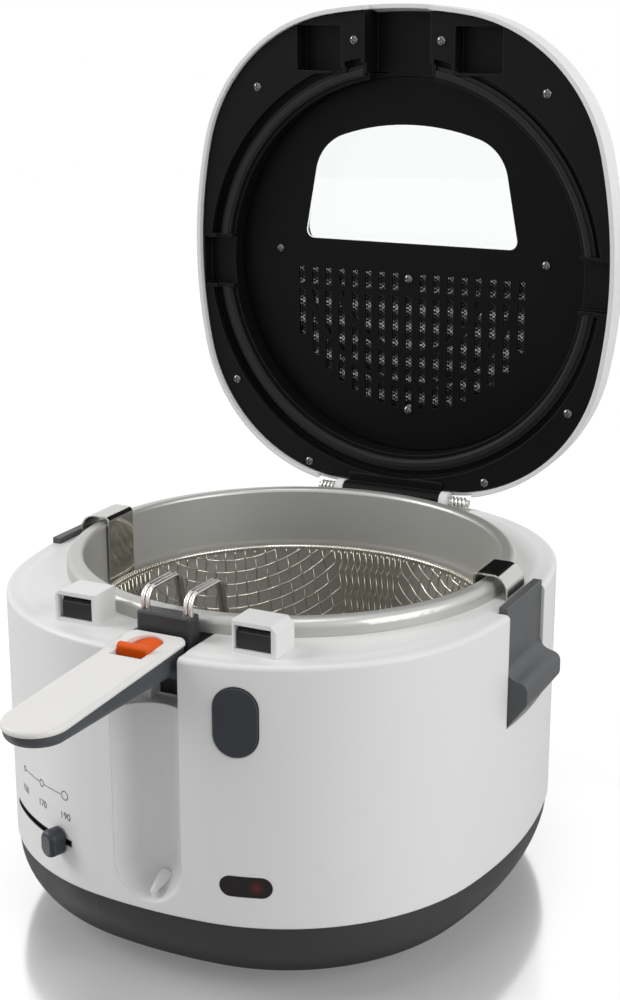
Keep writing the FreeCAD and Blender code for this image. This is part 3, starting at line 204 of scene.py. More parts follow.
def moulded_grain_group() -> bpy.types.NodeTree:
    """Fine spark-eroded grain with slow tone and gloss changes of a moulding.

    Returns:
        Group with Height, Tone and Gloss outputs.
    """
    nodes, given, made = new_group(
        "moulded_grain", {"Grain per m": 1800.0, "Flow per m": 9.0},
        {"Height": "NodeSocketFloat", "Tone": "NodeSocketFloat", "Gloss": "NodeSocketFloat"})
    where = nodes.add("ShaderNodeTexCoord").outputs["Object"]
    smears_per_flow = 6.0
    fine = nodes.noise(where, given["Grain per m"], detail=1.0)
    flow = nodes.noise(where, given["Flow per m"], detail=3.0)
    smear = nodes.noise(where, nodes.math("MULTIPLY", given["Flow per m"], smears_per_flow), detail=4.0)
    nodes.link(fine, made["Height"])
    nodes.link(flow, made["Tone"])
    nodes.link(smear, made["Gloss"])
    return nodes.tree


def edge_touch_group() -> bpy.types.NodeTree:
    """Softened edges and a mask of where hands rub them.

    Returns:
        Group with Normal and Rub outputs.
    """
    nodes, given, made = new_group(
        "edge_touch", {"Radius": 0.0006, "Gain": 6.0},
        {"Normal": "NodeSocketVector", "Rub": "NodeSocketFloat"})
    bevel = nodes.add("ShaderNodeBevel", samples=6)
    nodes.link(given["Radius"], bevel.inputs["Radius"])
    flat = nodes.add("ShaderNodeNewGeometry").outputs["Normal"]
    dot = nodes.add("ShaderNodeVectorMath", operation="DOT_PRODUCT")
    nodes.link(bevel.outputs["Normal"], dot.inputs[0])
    nodes.link(flat, dot.inputs[1])
    turned = nodes.math("SUBTRACT", 1.0, dot.outputs["Value"])
    nodes.link(bevel.outputs["Normal"], made["Normal"])
    nodes.link(nodes.math("MULTIPLY", turned, given["Gain"], clamp=True), made["Rub"])
    return nodes.tree


def drawn_metal_group() -> bpy.types.NodeTree:
    """Long faint lines along one axis and a slow oil bloom.

    Returns:
        Group with Height and Bloom outputs.
    """
    nodes, given, made = new_group(
        "drawn_metal", {"Lines per m": 900.0, "Stretch": 0.02, "Bloom per m": 30.0},
        {"Height": "NodeSocketFloat", "Bloom": "NodeSocketFloat"})
    where = nodes.add("ShaderNodeTexCoord").outputs["Object"]
    squeeze = nodes.add("ShaderNodeCombineXYZ", X=1.0, Y=1.0)
    nodes.link(given["Stretch"], squeeze.inputs["Z"])
    scaled = nodes.add("ShaderNodeVectorMath", operation="MULTIPLY")
    nodes.link(where, scaled.inputs[0])
    nodes.link(squeeze.outputs[0], scaled.inputs[1])
    nodes.link(nodes.noise(scaled.outputs[0], given["Lines per m"]), made["Height"])
    nodes.link(nodes.noise(where, given["Bloom per m"], detail=4.0), made["Bloom"])
    return nodes.tree


@dataclass
class Groups:
    """The shader groups, each built once."""

    grain: bpy.types.NodeTree = field(default_factory=moulded_grain_group)
    edge: bpy.types.NodeTree = field(default_factory=edge_touch_group)
    drawn: bpy.types.NodeTree = field(default_factory=drawn_metal_group)


def start_material(name: str) -> tuple[bpy.types.Material, Nodes, bpy.types.Node]:
    """Start a material with one Principled shader.

    Args:
        name: Name of the material.

    Returns:
        The material, its node helper and the shader node.
    """
    material = bpy.data.materials.new(name)
    material.use_nodes = True
    nodes = Nodes(material.node_tree)
    shader = next(n for n in material.node_tree.nodes if n.type == "BSDF_PRINCIPLED")
    return material, nodes, shader


def place_group(nodes: Nodes, tree: bpy.types.NodeTree, values: dict[str, float]) -> bpy.types.Node:
    """Place a shader group with its own values.

    Args:
        nodes: Helper of the material's tree.
        tree: The group.
        values: Input values by name.

    Returns:
        The group node.
    """
    node = nodes.add("ShaderNodeGroup")
    node.node_tree = tree
    for key, value in values.items():
        node.inputs[key].default_value = value
    return node


def vary_roughness(nodes: Nodes, shader: bpy.types.Node, mask: bpy.types.NodeSocket, low: float,
                   spread: float) -> None:
    """Let a mask vary the shader's roughness.

    Args:
        nodes: Helper of the material's tree.
        shader: The shader node.
        mask: Value socket from 0 to 1.
        low: Roughness where the mask is 0.
        spread: What is added where the mask is 1.
    """
    nodes.link(nodes.math("MULTIPLY_ADD", mask, spread, low), shader.inputs["Roughness"])


def put_relief(nodes: Nodes, shader: bpy.types.Node, height: bpy.types.NodeSocket, depth: float,
               edge: bpy.types.Node) -> None:
    """Give the shader a fine relief over softened edges.

    Args:
        nodes: Helper of the material's tree.
        shader: The shader node.
        height: Value socket of the relief.
        depth: Depth of the relief in metres.
        edge: The placed edge group.
    """
    bump = nodes.add("ShaderNodeBump", Strength=1.0, Distance=depth)
    nodes.link(height, bump.inputs["Height"])
    nodes.link(edge.outputs["Normal"], bump.inputs["Normal"])
    nodes.link(bump.outputs["Normal"], shader.inputs["Normal"])


# Finishes


@dataclass(frozen=True)
class MouldedPlastic:
    """Injection-moulded plastic with a fine grain, soft edges and rubbed corners."""

    colour: Point
    roughness: float = 0.4
    grain_depth: float = 0.00002
    grain_per_m: float = 1800.0
    tone: float = 0.06
    edge: float = 0.0006
    rub: float = 0.12
    specular: float = 0.4
    gloss_spread: float = 0.16

    def make(self, name: str, groups: Groups) -> bpy.types.Material:
        """Build the material.

        Args:
            name: Name of the material.
            groups: Shared shader groups.

        Returns:
            The material.
        """
        material, nodes, shader = start_material(name)
        grain = place_group(nodes, groups.grain, {"Grain per m": self.grain_per_m})
        edge = place_group(nodes, groups.edge, {"Radius": self.edge})
        low = tuple(c * (1 - self.tone) for c in self.colour)
        high = tuple(min(1.0, c * (1 + self.tone)) for c in self.colour)
        worn = tuple(c + (1 - c) * self.rub for c in self.colour)
        tone = nodes.mix(grain.outputs["Tone"], low, high)
        nodes.link(nodes.mix(edge.outputs["Rub"], tone, worn), shader.inputs["Base Color"])
        smoothest = self.roughness - self.gloss_spread / 2
        vary_roughness(nodes, shader, grain.outputs["Gloss"], smoothest, self.gloss_spread)
        put_relief(nodes, shader, grain.outputs["Height"], self.grain_depth, edge)
        shader.inputs["Specular IOR Level"].default_value = self.specular
        return material


@dataclass(frozen=True)
class BrightMetal:
    """Polished or drawn metal with faint lines and an oil bloom."""

    colour: Point
    roughness: float = 0.14
    lines_per_m: float = 900.0
    stretch: float = 0.02
    line_depth: float = 0.000004
    bloom: float = 0.12
    edge: float = 0.0003
    gloss_spread: float = 0.12

    def make(self, name: str, groups: Groups) -> bpy.types.Material:
        """Build the material.

        Args:
            name: Name of the material.
            groups: Shared shader groups.

        Returns:
            The material.
        """
        material, nodes, shader = start_material(name)
        drawn = place_group(nodes, groups.drawn, {"Lines per m": self.lines_per_m, "Stretch": self.stretch})
        edge = place_group(nodes, groups.edge, {"Radius": self.edge})
        dull = tuple(c * (1 - self.bloom) for c in self.colour)
        nodes.link(nodes.mix(drawn.outputs["Bloom"], dull, self.colour), shader.inputs["Base Color"])
        smoothest = self.roughness - self.gloss_spread / 2
        vary_roughness(nodes, shader, drawn.outputs["Bloom"], smoothest, self.gloss_spread)
        put_relief(nodes, shader, drawn.outputs["Height"], self.line_depth, edge)
        shader.inputs["Metallic"].default_value = 1.0
        return material


@dataclass(frozen=True)
class PleatedFilter:
    """Bright folded filter metal, painted bright on the crests of its folds as a highlight and painted dark
    between them as shade.
    """

    # Colours of the painted highlight on the fold crests and of the painted shade between them
    crest: Point = (1.0, 1.0, 0.98)
    valley_shade: Point = (0.12, 0.12, 0.12)
    pleat: float = 0.011
    first_crest: float = 0.3105
    sharpness: float = 1.7
    roughness: float = 0.26
    gloss_spread: float = 0.12
    bloom_per_m: float = 60.0
    least_bloom: float = 0.5

    def make(self, name: str, groups: Groups) -> bpy.types.Material:
        """Build the material.

        Args:
            name: Name of the material.
            groups: Shared shader groups.

        Returns:
            The material.
        """
        material, nodes, shader = start_material(name)
        drawn = place_group(nodes, groups.drawn, {"Bloom per m": self.bloom_per_m})
        apart = nodes.add("ShaderNodeSeparateXYZ")
        nodes.link(nodes.add("ShaderNodeTexCoord").outputs["Object"], apart.inputs[0])
        below = nodes.math("SUBTRACT", apart.outputs["Z"], self.first_crest)
        wave = nodes.math("COSINE", nodes.math("MULTIPLY", below, 2 * math.pi / self.pleat))
        lifted = nodes.math("MULTIPLY", nodes.math("ADD", wave, 1.0), 0.5)
        # Painted highlight on each fold crest and painted shade between them, both broken into patches by
        # the oil bloom
        crest = nodes.math("POWER", lifted, self.sharpness)
        bloom = nodes.math("ADD", drawn.outputs["Bloom"], self.least_bloom)
        painted_light_mask = nodes.math("MULTIPLY", crest, bloom, clamp=True)
        nodes.link(nodes.mix(painted_light_mask, self.valley_shade, self.crest), shader.inputs["Base Color"])
        smoothest = self.roughness - self.gloss_spread / 2
        vary_roughness(nodes, shader, drawn.outputs["Bloom"], smoothest, self.gloss_spread)
        shader.inputs["Metallic"].default_value = 1.0
        return material


@dataclass(frozen=True)
class CoatedBowl:
    """Satin grey coat on spun metal, with a fine grain and a slow bloom."""

    colour: Point
    roughness: float = 0.34
    metallic: float = 0.72
    bloom: float = 0.08
    bloom_per_m: float = 14.0
    grain_per_m: float = 2600.0
    grain_depth: float = 0.00001
    edge: float = 0.0005
    gloss_spread: float = 0.1

    def make(self, name: str, groups: Groups) -> bpy.types.Material:
        """Build the material.

        Args:
            name: Name of the material.
            groups: Shared shader groups.

        Returns:
            The material.
        """
        material, nodes, shader = start_material(name)
        drawn = place_group(nodes, groups.drawn, {"Bloom per m": self.bloom_per_m})
        edge = place_group(nodes, groups.edge, {"Radius": self.edge})
        grain = place_group(nodes, groups.grain, {"Grain per m": self.grain_per_m})
        low = tuple(c * (1 - self.bloom) for c in self.colour)
        nodes.link(nodes.mix(drawn.outputs["Bloom"], low, self.colour), shader.inputs["Base Color"])
        smoothest = self.roughness - self.gloss_spread / 2
        vary_roughness(nodes, shader, drawn.outputs["Bloom"], smoothest, self.gloss_spread)
        put_relief(nodes, shader, grain.outputs["Height"], self.grain_depth, edge)
        shader.inputs["Metallic"].default_value = self.metallic
        return material


@dataclass(frozen=True)
class ClearPane:
    """Clear moulded pane."""

    colour: Point = (0.97, 0.98, 0.98)
    roughness: float = 0.02
    transmission: float = 1.0
    ior: float = 1.2
    flow_per_m: float = 20.0
    gloss_spread: float = 0.02

    def make(self, name: str, groups: Groups) -> bpy.types.Material:
        """Build the material.

        Args:
            name: Name of the material.
            groups: Shared shader groups.

        Returns:
            The material.
        """
        material, nodes, shader = start_material(name)
        grain = place_group(nodes, groups.grain, {"Flow per m": self.flow_per_m})
        vary_roughness(nodes, shader, grain.outputs["Gloss"], self.roughness, self.gloss_spread)
        shader.inputs["Base Color"].default_value = (*self.colour, 1.0)
        shader.inputs["Transmission Weight"].default_value = self.transmission
        shader.inputs["IOR"].default_value = self.ior
        return material


@dataclass(frozen=True)
class SmokedLens:
    """Nearly black gloss lens with a faint warm glow where the lamp stands behind it."""

    colour: Point = (0.012, 0.009, 0.01)
    glow: Point = (0.16, 0.012, 0.01)
    lamp: Point = row(56.6, -145.0, 62.6)
    reach: float = 0.0045
    flow_per_m: float = 40.0
    roughness: float = 0.05
    gloss_spread: float = 0.06
    specular: float = 0.3

    def make(self, name: str, groups: Groups) -> bpy.types.Material:
        """Build the material.

        Args:
            name: Name of the material.
            groups: Shared shader groups.

        Returns:
            The material.
        """
        material, nodes, shader = start_material(name)
        grain = place_group(nodes, groups.grain, {"Flow per m": self.flow_per_m})
        where = nodes.add("ShaderNodeTexCoord").outputs["Object"]
        far = nodes.add("ShaderNodeVectorMath", operation="DISTANCE")
        nodes.link(where, far.inputs[0])
        far.inputs[1].default_value = self.lamp
        share = nodes.math("DIVIDE", far.outputs["Value"], self.reach)
        near = nodes.math("SUBTRACT", 1.0, share, clamp=True)
        nodes.link(nodes.mix(near, self.colour, self.glow), shader.inputs["Base Color"])
        vary_roughness(nodes, shader, grain.outputs["Gloss"], self.roughness, self.gloss_spread)
        shader.inputs["Specular IOR Level"].default_value = self.specular
        return material


WHITE = MouldedPlastic((0.80, 0.80, 0.795), roughness=0.36, grain_depth=0.000008, grain_per_m=2400.0,
                       tone=0.012, edge=0.0009, rub=0.05)
GREY = MouldedPlastic((0.078, 0.082, 0.086), roughness=0.44, grain_depth=0.00003, grain_per_m=1500.0,
                      tone=0.10)
BLACK = MouldedPlastic((0.005, 0.005, 0.0053), grain_per_m=1700.0, tone=0.12, rub=0.03, specular=0.12)
RUBBER = MouldedPlastic((0.02, 0.02, 0.02), roughness=0.7, grain_depth=0.00004, grain_per_m=900.0, tone=0.2,
                        edge=0.0008, rub=0.04, specular=0.25)

FINISHES = {
    "body_white": WHITE,
    "lid_white": WHITE,
    "handle_white": replace(WHITE, colour=(0.81, 0.80, 0.78), edge=0.0012),
    "base_grey": replace(GREY, colour=(0.042, 0.041, 0.042), roughness=0.5, rub=0.08, specular=0.25),
    "grip_grey": GREY,
    "handle_grey": replace(GREY, colour=(0.055, 0.06, 0.067)),
    "bracket_grey": replace(GREY, colour=(0.03, 0.032, 0.035), roughness=0.4, grain_depth=0.00002),
    "control_grey": replace(GREY, colour=(0.026, 0.03, 0.038), roughness=0.42),
    "latch_black": replace(GREY, colour=(0.012, 0.013, 0.015), roughness=0.22, grain_depth=0.00001),
    "frame_black": BLACK,
    "plate_black": replace(BLACK, colour=(0.004, 0.004, 0.0043), roughness=0.42, edge=0.0004,
                           specular=0.1),
    "button_orange": MouldedPlastic((0.76, 0.10, 0.003), roughness=0.36, grain_depth=0.00001,
                                    grain_per_m=2000.0, tone=0.04, edge=0.0008, rub=0.05, specular=0.2),
    "bowl_coat": CoatedBowl((0.53, 0.53, 0.51), roughness=0.36, metallic=0.45),
    "clip_steel": BrightMetal((0.62, 0.61, 0.59), roughness=0.1),
    "wire_steel": BrightMetal((0.70, 0.68, 0.65), roughness=0.12),
    "mesh_steel": BrightMetal((0.68, 0.64, 0.55), roughness=0.18),
    "pin_steel": BrightMetal((0.78, 0.77, 0.73), roughness=0.35),
    "screw_steel": BrightMetal((0.17, 0.17, 0.165), roughness=0.2),
    "window_clear": ClearPane(),
    "lens_smoke": SmokedLens(),
    "foot_rubber": RUBBER,
    "seal_rubber": replace(RUBBER, colour=(0.010, 0.010, 0.010), roughness=0.5),
    "shield_sheet": BrightMetal((0.7, 0.71, 0.72), roughness=0.25),
    "element_sheath": BrightMetal((0.3, 0.28, 0.26), roughness=0.4),
    "insulator": MouldedPlastic((0.7, 0.66, 0.58), roughness=0.5),
    "filter_metal": PleatedFilter(),
    "filter_fibre": replace(RUBBER, roughness=0.9),
}


# Mesh helpers


def add_mesh(name: str, verts: np.ndarray, faces: Sequence[Sequence[int]],
             smooth: bool = True) -> bpy.types.Object:
    """Make a mesh object in the scene.

    Args:
        name: Piece name.
        verts: Points in metres.
        faces: Vertex indices.
        smooth: Shade smooth.

    Returns:
        The object.
    """
    mesh = bpy.data.meshes.new(name)
    mesh.from_pydata(np.asarray(verts, float).tolist(), [], [list(f) for f in faces])
    mesh.validate()
    if smooth:
        mesh.polygons.foreach_set("use_smooth", [True] * len(mesh.polygons))
    mesh.update()
    piece = bpy.data.objects.new(name, mesh)
    bpy.context.scene.collection.objects.link(piece)
    return piece


@dataclass
class WireBundle:
    """Gathers round wires as tubes of one mesh."""

    sides: int = 5
    verts: list[np.ndarray] = field(default_factory=list)
    faces: list[tuple[int, ...]] = field(default_factory=list)
    count: int = 0

    def add(self, path: np.ndarray, radius: float | np.ndarray, flat: float = 1.0) -> None:
        """Add one open wire.

        Args:
            path: Points along the wire.
            radius: Wire radius, one for all points or one each.
            flat: Squash of the section across its first normal.
        """
        path = np.asarray(path, float)
        radii = np.broadcast_to(radius, len(path))
        ahead = np.gradient(path, axis=0)
        ahead /= np.linalg.norm(ahead, axis=1)[:, None]
        normal = np.cross(ahead[0], ASKEW)
        normal /= np.linalg.norm(normal)
        turn = np.linspace(0, 2 * math.pi, self.sides, endpoint=False)
        rings = []
        for point, direction, size in zip(path, ahead, radii):
            normal = normal - direction * normal.dot(direction)
            normal /= np.linalg.norm(normal)
            other = np.cross(direction, normal)
            section = np.outer(np.cos(turn), normal) + flat * np.outer(np.sin(turn), other)
            rings.append(point + size * section)
        start = self.count
        self.verts.append(np.concatenate(rings))
        for i in range(len(path) - 1):
            for k in range(self.sides):
                a = start + i * self.sides + k
                b = start + i * self.sides + (k + 1) % self.sides
                self.faces.append((a, b, b + self.sides, a + self.sides))
        last = start + (len(path) - 1) * self.sides
        self.faces.append(tuple(range(start + self.sides - 1, start - 1, -1)))
        self.faces.append(tuple(range(last, last + self.sides)))
        self.count += len(path) * self.sides

    def build(self, name: str) -> bpy.types.Object:
        """Make the mesh object."""
        return add_mesh(name, np.concatenate(self.verts), self.faces)


def even(path: np.ndarray, step: float) -> np.ndarray:
    """Resample a polyline at an even step.

    Args:
        path: Points.
        step: Spacing.

    Returns:
        Evenly spaced points from end to end.
    """
    lengths = np.concatenate([[0.0], np.cumsum(np.linalg.norm(np.diff(path, axis=0), axis=1))])
    count = max(3, int(lengths[-1] / step) + 1)
    at = np.linspace(0.0, lengths[-1], count)
    return np.column_stack([np.interp(at, lengths, path[:, k]) for k in range(path.shape[1])])


# Sub-assemblies


@dataclass
class WovenBasket:
    """Square wire net on the basket's cup: straight on four faces, sheared between, whipped at its edge."""

    centre_y: float = 5.3
    floor_radius: float = 96.2
    top_radius: float = 106.8
    floor_z: float = 57.8
    top_z: float = 148.0
    round: float = 13.2
    round_points: int = 24
    pitch: float = 7.4
    wire: float = 0.47
    crimp: float = 0.5
    twist: float = 46.0
    edge_radius: float = 107.6
    edge_z: float = 149.2
    edge_wire: float = 1.1
    whip_wire: float = 0.38
    whip_turns: int = 300
    whip_points: int = 10
    whip_bed: float = 0.5
    draw_start: float = 92.0
    lock: float = 0.46
    trace: float = 0.4
    step: float = 1.75
    edge_gap: float = 1.0
    fewest_points: int = 5

    def profile(self) -> tuple[np.ndarray, np.ndarray, np.ndarray]:
        """The cup's meridian.

        Returns:
            Arc length, radius and height along it.
        """
        lean = math.atan((self.top_radius - self.floor_radius) / (self.top_z - self.floor_z))
        sweep = math.pi / 2 - lean
        trim = self.round * math.tan(sweep / 2)
        flat = self.floor_radius - trim
        turn = np.linspace(0, sweep, self.round_points)
        radius = np.concatenate([[0.0], flat + self.round * np.sin(turn), [self.top_radius]])
        height = np.concatenate([[0.0], self.round * (1 - np.cos(turn)), [self.top_z - self.floor_z]])
        length = np.concatenate([[0.0], np.cumsum(np.hypot(np.diff(radius), np.diff(height)))])
        return length, radius, height + self.floor_z

    def lay(self, u: np.ndarray, v: float) -> tuple[np.ndarray, np.ndarray]:
        """Lay net coordinates on the cup: flat on the floor, upright on four faces, sheared at the corners.

        Args:
            u: Coordinates along the wire, zero or more.
            v: Coordinate of the wire across its face, zero or more.

        Returns:
            Angle from the middle of the wire's face, and arc length from the middle of the floor.
        """
        start = self.draw_start
        edge = start / math.sqrt(2)
        turn = np.where(u < edge, np.arcsin(np.minimum(u, edge) / start), math.acos(min(v, edge) / start))
        face = np.where(u < edge, v - start * np.cos(turn), u - start * np.sin(turn))
        corner = (u >= edge) & (v >= edge)
        rise = np.maximum(np.where(corner, u + v - 2 * edge, face), 0.0)
        strip = self.lock * rise / (2 * start)
        quarter = math.pi / 4
        squeeze = (quarter - strip) / quarter
        angle = np.where(u < edge, turn * squeeze, quarter + strip + (turn - quarter) * squeeze)
        share = (u - edge) / np.maximum(rise, TINY)
        angle = np.where(corner, quarter - strip + 2 * strip * share, angle)
        flat = np.hypot(u, v) <= start
        angle = np.where(flat, np.arctan2(u, max(v, TINY)), angle)
        return angle, np.where(flat, np.hypot(u, v), start + rise)

    def wire_path(self, value: float, index: int, face: float) -> np.ndarray:
        """One wire of the net with its crimp.

        Args:
            value: Net coordinate, zero or more.
            index: Wire number, for the over and under.
            face: Angle of the face that the wire lies across.

        Returns:
            Points in body-plan millimetres.
        """
        length, radius, height = self.profile()
        u = np.arange(0.0, 2 * length[-1], self.trace)
        angle, reach = self.lay(u, value)
        last = int(np.argmax(reach > length[-1]))
        u, angle, reach = (np.concatenate([s * a[last - 1:0:-1], a[:last]])
                           for s, a in ((-1, u), (-1, angle), (1, reach)))
        r = np.interp(reach, length, radius)
        z = np.interp(reach, length, height)
        out_r = np.interp(reach, length, np.gradient(height, length))
        out_z = -np.interp(reach, length, np.gradient(radius, length))
        lift = self.crimp * (-1) ** index * np.cos(math.pi * u / self.pitch)
        points = np.column_stack([
            (r + lift * out_r) * np.cos(angle + face),
            (r + lift * out_r) * np.sin(angle + face) + self.centre_y,
            z + lift * out_z,
        ])
        return even(points, self.step)

    def build(self) -> bpy.types.Object:
        """Weave the net.

        Returns:
            The piece, standing for the CAD cup.
        """
        bundle = WireBundle(sides=5)
        top = self.profile()[0][-1]
        count = int((top - self.edge_gap) / self.pitch)
        for index in range(-count, count + 1):
            value = abs(index) * self.pitch
            for family, face in enumerate((0.0, math.pi / 2)):
                side = math.radians(self.twist) + face + (math.pi if index < 0 else 0.0)
                path = self.wire_path(value, index + family, side)
                if len(path) >= self.fewest_points:
                    bundle.add(np.array([row(*p) for p in path]), self.wire * MM)
        bundle.add(self.whipping(), self.whip_wire * MM)
        piece = bundle.build("basket_net")
        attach(piece, Body.BASKET.value)
        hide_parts("basket_mesh")
        return piece

    def whipping(self) -> np.ndarray:
        """Fine wire wound round the edge ring.

        Returns:
            Points in metres.
        """
        turn = np.linspace(0, 2 * math.pi, self.whip_turns * self.whip_points + 1)
        coil = turn * self.whip_turns
        winding = self.edge_wire + self.whip_wire * self.whip_bed
        out = self.edge_radius + winding * np.cos(coil)
        up = self.edge_z + winding * np.sin(coil)
        return np.array([row(r * math.cos(t), r * math.sin(t) + self.centre_y, z)
                         for r, t, z in zip(out, turn, up)])


@dataclass
class FilterLattice:
    """Expanded metal behind the lid grille: zigzag strands that meet in diamonds."""

    hinge_y: float = 140.0
    hinge_z: float = 178.5
    open_angle: float = LID_OPEN
    level: float = 25.0
    centre_y: float = 8.5
    radius: float = 86.0
    cell_width: float = 2.977
    cell_height: float = 4.4
    pleat: float = 11.0
    pleat_depth: float = 0.6
    strand: float = 0.34
    swell: float = 0.36
    flat: float = 0.6
    weave: float = 0.2
    meet: float = 0.94
    hole: float = 4.0
    straight_edge: float = 2.4
    first_row: float = 3.0
    spare_rows: int = 4
    screws: tuple[tuple[float, float], ...] = ((0.0, 11.5), (0.0, 92.5))

    def on_lid(self, x: float, y: float, level: float) -> Point:
        """A point of the shut lid, carried to the open lid.

        Args:
            x: Millimetres to the right.
            y: Millimetres to the back.
            level: Millimetres above the hinge pin.

        Returns:
            The point in the shared frame.
        """
        swing = math.radians(-self.open_angle)
        dy = y - self.hinge_y
        return row(x, self.hinge_y + dy * math.cos(swing) - level * math.sin(swing),
                   self.hinge_z + dy * math.sin(swing) + level * math.cos(swing))

    def inside(self, x: float, y: float) -> bool:
        """Whether a place is on the half disc and clear of the screw posts.

        Args:
            x: Millimetres to the right, with the lid shut.
            y: Millimetres to the back, with the lid shut.

        Returns:
            True where the lattice has metal.
        """
        clear = all(math.hypot(x - sx, y - sy) > self.hole for sx, sy in self.screws)
        behind = y > self.centre_y - self.straight_edge
        return clear and behind and math.hypot(x, y - self.centre_y) < self.radius

    def build(self) -> bpy.types.Object:
        """Make the lattice.

        Returns:
            The piece, standing for the CAD sheet.
        """
        bundle = WireBundle(sides=4)
        columns = int(self.radius / self.cell_width) + 1
        rows = int(self.radius / self.cell_height * 2) + self.spare_rows
        for column in range(-columns, columns + 1):
            for lean in (-1, 1):
                run: list[Point] = []
                sizes: list[float] = []
                for k in range(rows + 1):
                    swing = 0.5 if (k + (lean > 0)) % 2 else -0.5
                    x = (column + swing * self.meet) * self.cell_width
                    y = self.centre_y - self.first_row + k * self.cell_height / 2
                    if k < rows and self.inside(x, y):
                        crest = abs(2 * ((y - self.centre_y) / self.pleat % 1) - 1)
                        over = self.weave * (1 if k % 2 else -1) * lean
                        depth = self.level - self.pleat_depth * (crest - 0.5) + over
                        run.append(self.on_lid(x, y, depth))
                        sizes.append((self.strand + self.swell * crest) * MM)
                        continue
                    if len(run) > 2:
                        bundle.add(np.array(run), np.array(sizes), self.flat)
                    run = []
                    sizes = []
        piece = bundle.build("filter_lattice")
        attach(piece, Body.LID.value)
        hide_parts("filter_mesh")
        return piece


@dataclass
class CrossScrews:
    """Pan-head lid screws with a cross recess, standing where the plain ones of a node stand."""

    node: str
    head_radius: float = 2.5
    head_height: float = 1.6
    edge_height: float = 0.6
    shank_radius: float = 1.4
    length: float = 9.0
    arm: float = 0.42
    reach: float = 1.6
    sink: float = 1.1
    taper: float = 0.4
    dome_power: float = 2.4
    crease: float = 40.0
    rings: int = 14
    sides: int = 48
    open_angle: float = LID_OPEN
    same_screw: float = 0.015

    def axes(self) -> np.ndarray:
        """Directions of the screws with the lid open.

        Returns:
            Two unit vectors across the heads and the one in which they face.
        """
        swing = math.radians(self.open_angle)
        facing = np.array([0.0, -math.sin(swing), -math.cos(swing)])
        across = np.array([1.0, 0.0, 0.0])
        return np.array([across, np.cross(facing, across), facing])

    def places(self) -> list[np.ndarray]:
        """Where each screw of the node has the top of its head.

        Returns:
            Distances along the three axes, in metres.
        """
        groups: list[list[np.ndarray]] = []
        for vertex in frame["nodes"][self.node].data.vertices:
            point = np.array(vertex.co)
            near = next((g for g in groups if np.linalg.norm(g[0] - point) < self.same_screw), None)
            if near is None:
                groups.append([point])
            else:
                near.append(point)
        spans = [np.array(group) @ self.axes().T for group in groups]
        return [np.array([*(s.min(0) + s.max(0))[:2] / 2, s[:, 2].max()]) for s in spans]

    def head(self, x: float, y: float) -> float:
        """Height of the head over a place across it: a low dome less the cross recess.

        Args:
            x: Millimetres across.
            y: Millimetres across, the other way.

        Returns:
            Millimetres above the seat.
        """
        share = math.hypot(x, y) / self.head_radius
        dome = self.head_height - (self.head_height - self.edge_height) * share ** self.dome_power
        depth = 0.0
        for along, side in ((abs(x), abs(y)), (abs(y), abs(x))):
            if along < self.reach and side < self.arm:
                depth = max(depth, self.sink * (1 - self.taper * along / self.reach))
        return dome - depth

    def build(self) -> bpy.types.Object:
        """Make the screws.

        Returns:
            The piece, standing for the CAD screws.
        """
        turns = [2 * math.pi * k / self.sides for k in range(self.sides)]
        rows: list[list[Point]] = []
        for k in range(1, self.rings + 1):
            r = self.head_radius * k / self.rings
            ring = [(r * math.cos(t), r * math.sin(t)) for t in turns]
            rows.append([(x, y, self.head(x, y)) for x, y in ring])
        for r, h in ((self.head_radius, 0.0), (self.shank_radius, 0.0), (self.shank_radius, -self.length)):
            rows.append([(r * math.cos(t), r * math.sin(t), h) for t in turns])
        crown = (0.0, 0.0, self.head(0.0, 0.0))
        shape = [crown, *(p for ring in rows for p in ring), (0.0, 0.0, -self.length)]
        n, tip = self.sides, len(shape) - 1
        faces = [(0, 1 + k, 1 + (k + 1) % n) for k in range(n)]
        for i in range(len(rows) - 1):
            for k in range(n):
                a, b = 1 + i * n + k, 1 + i * n + (k + 1) % n
                faces.append((a, a + n, b + n, b))
        faces += [(tip, tip - n + (k + 1) % n, tip - n + k) for k in range(n)]
        verts: list[np.ndarray] = []
        all_faces: list[tuple[int, ...]] = []
        for place in self.places():
            start = len(verts) * len(shape)
            local = np.array(shape) * MM + place - np.array([0.0, 0.0, self.head_height * MM])
            verts.append(local @ self.axes())
            all_faces += [tuple(start + v for v in face) for face in faces]
        piece = add_mesh(f"{self.node}_crossed", np.concatenate(verts), all_faces)
        piece.data.set_sharp_from_angle(angle=math.radians(self.crease))
        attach(piece, Body.LID.value)
        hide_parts(self.node)
        return piece


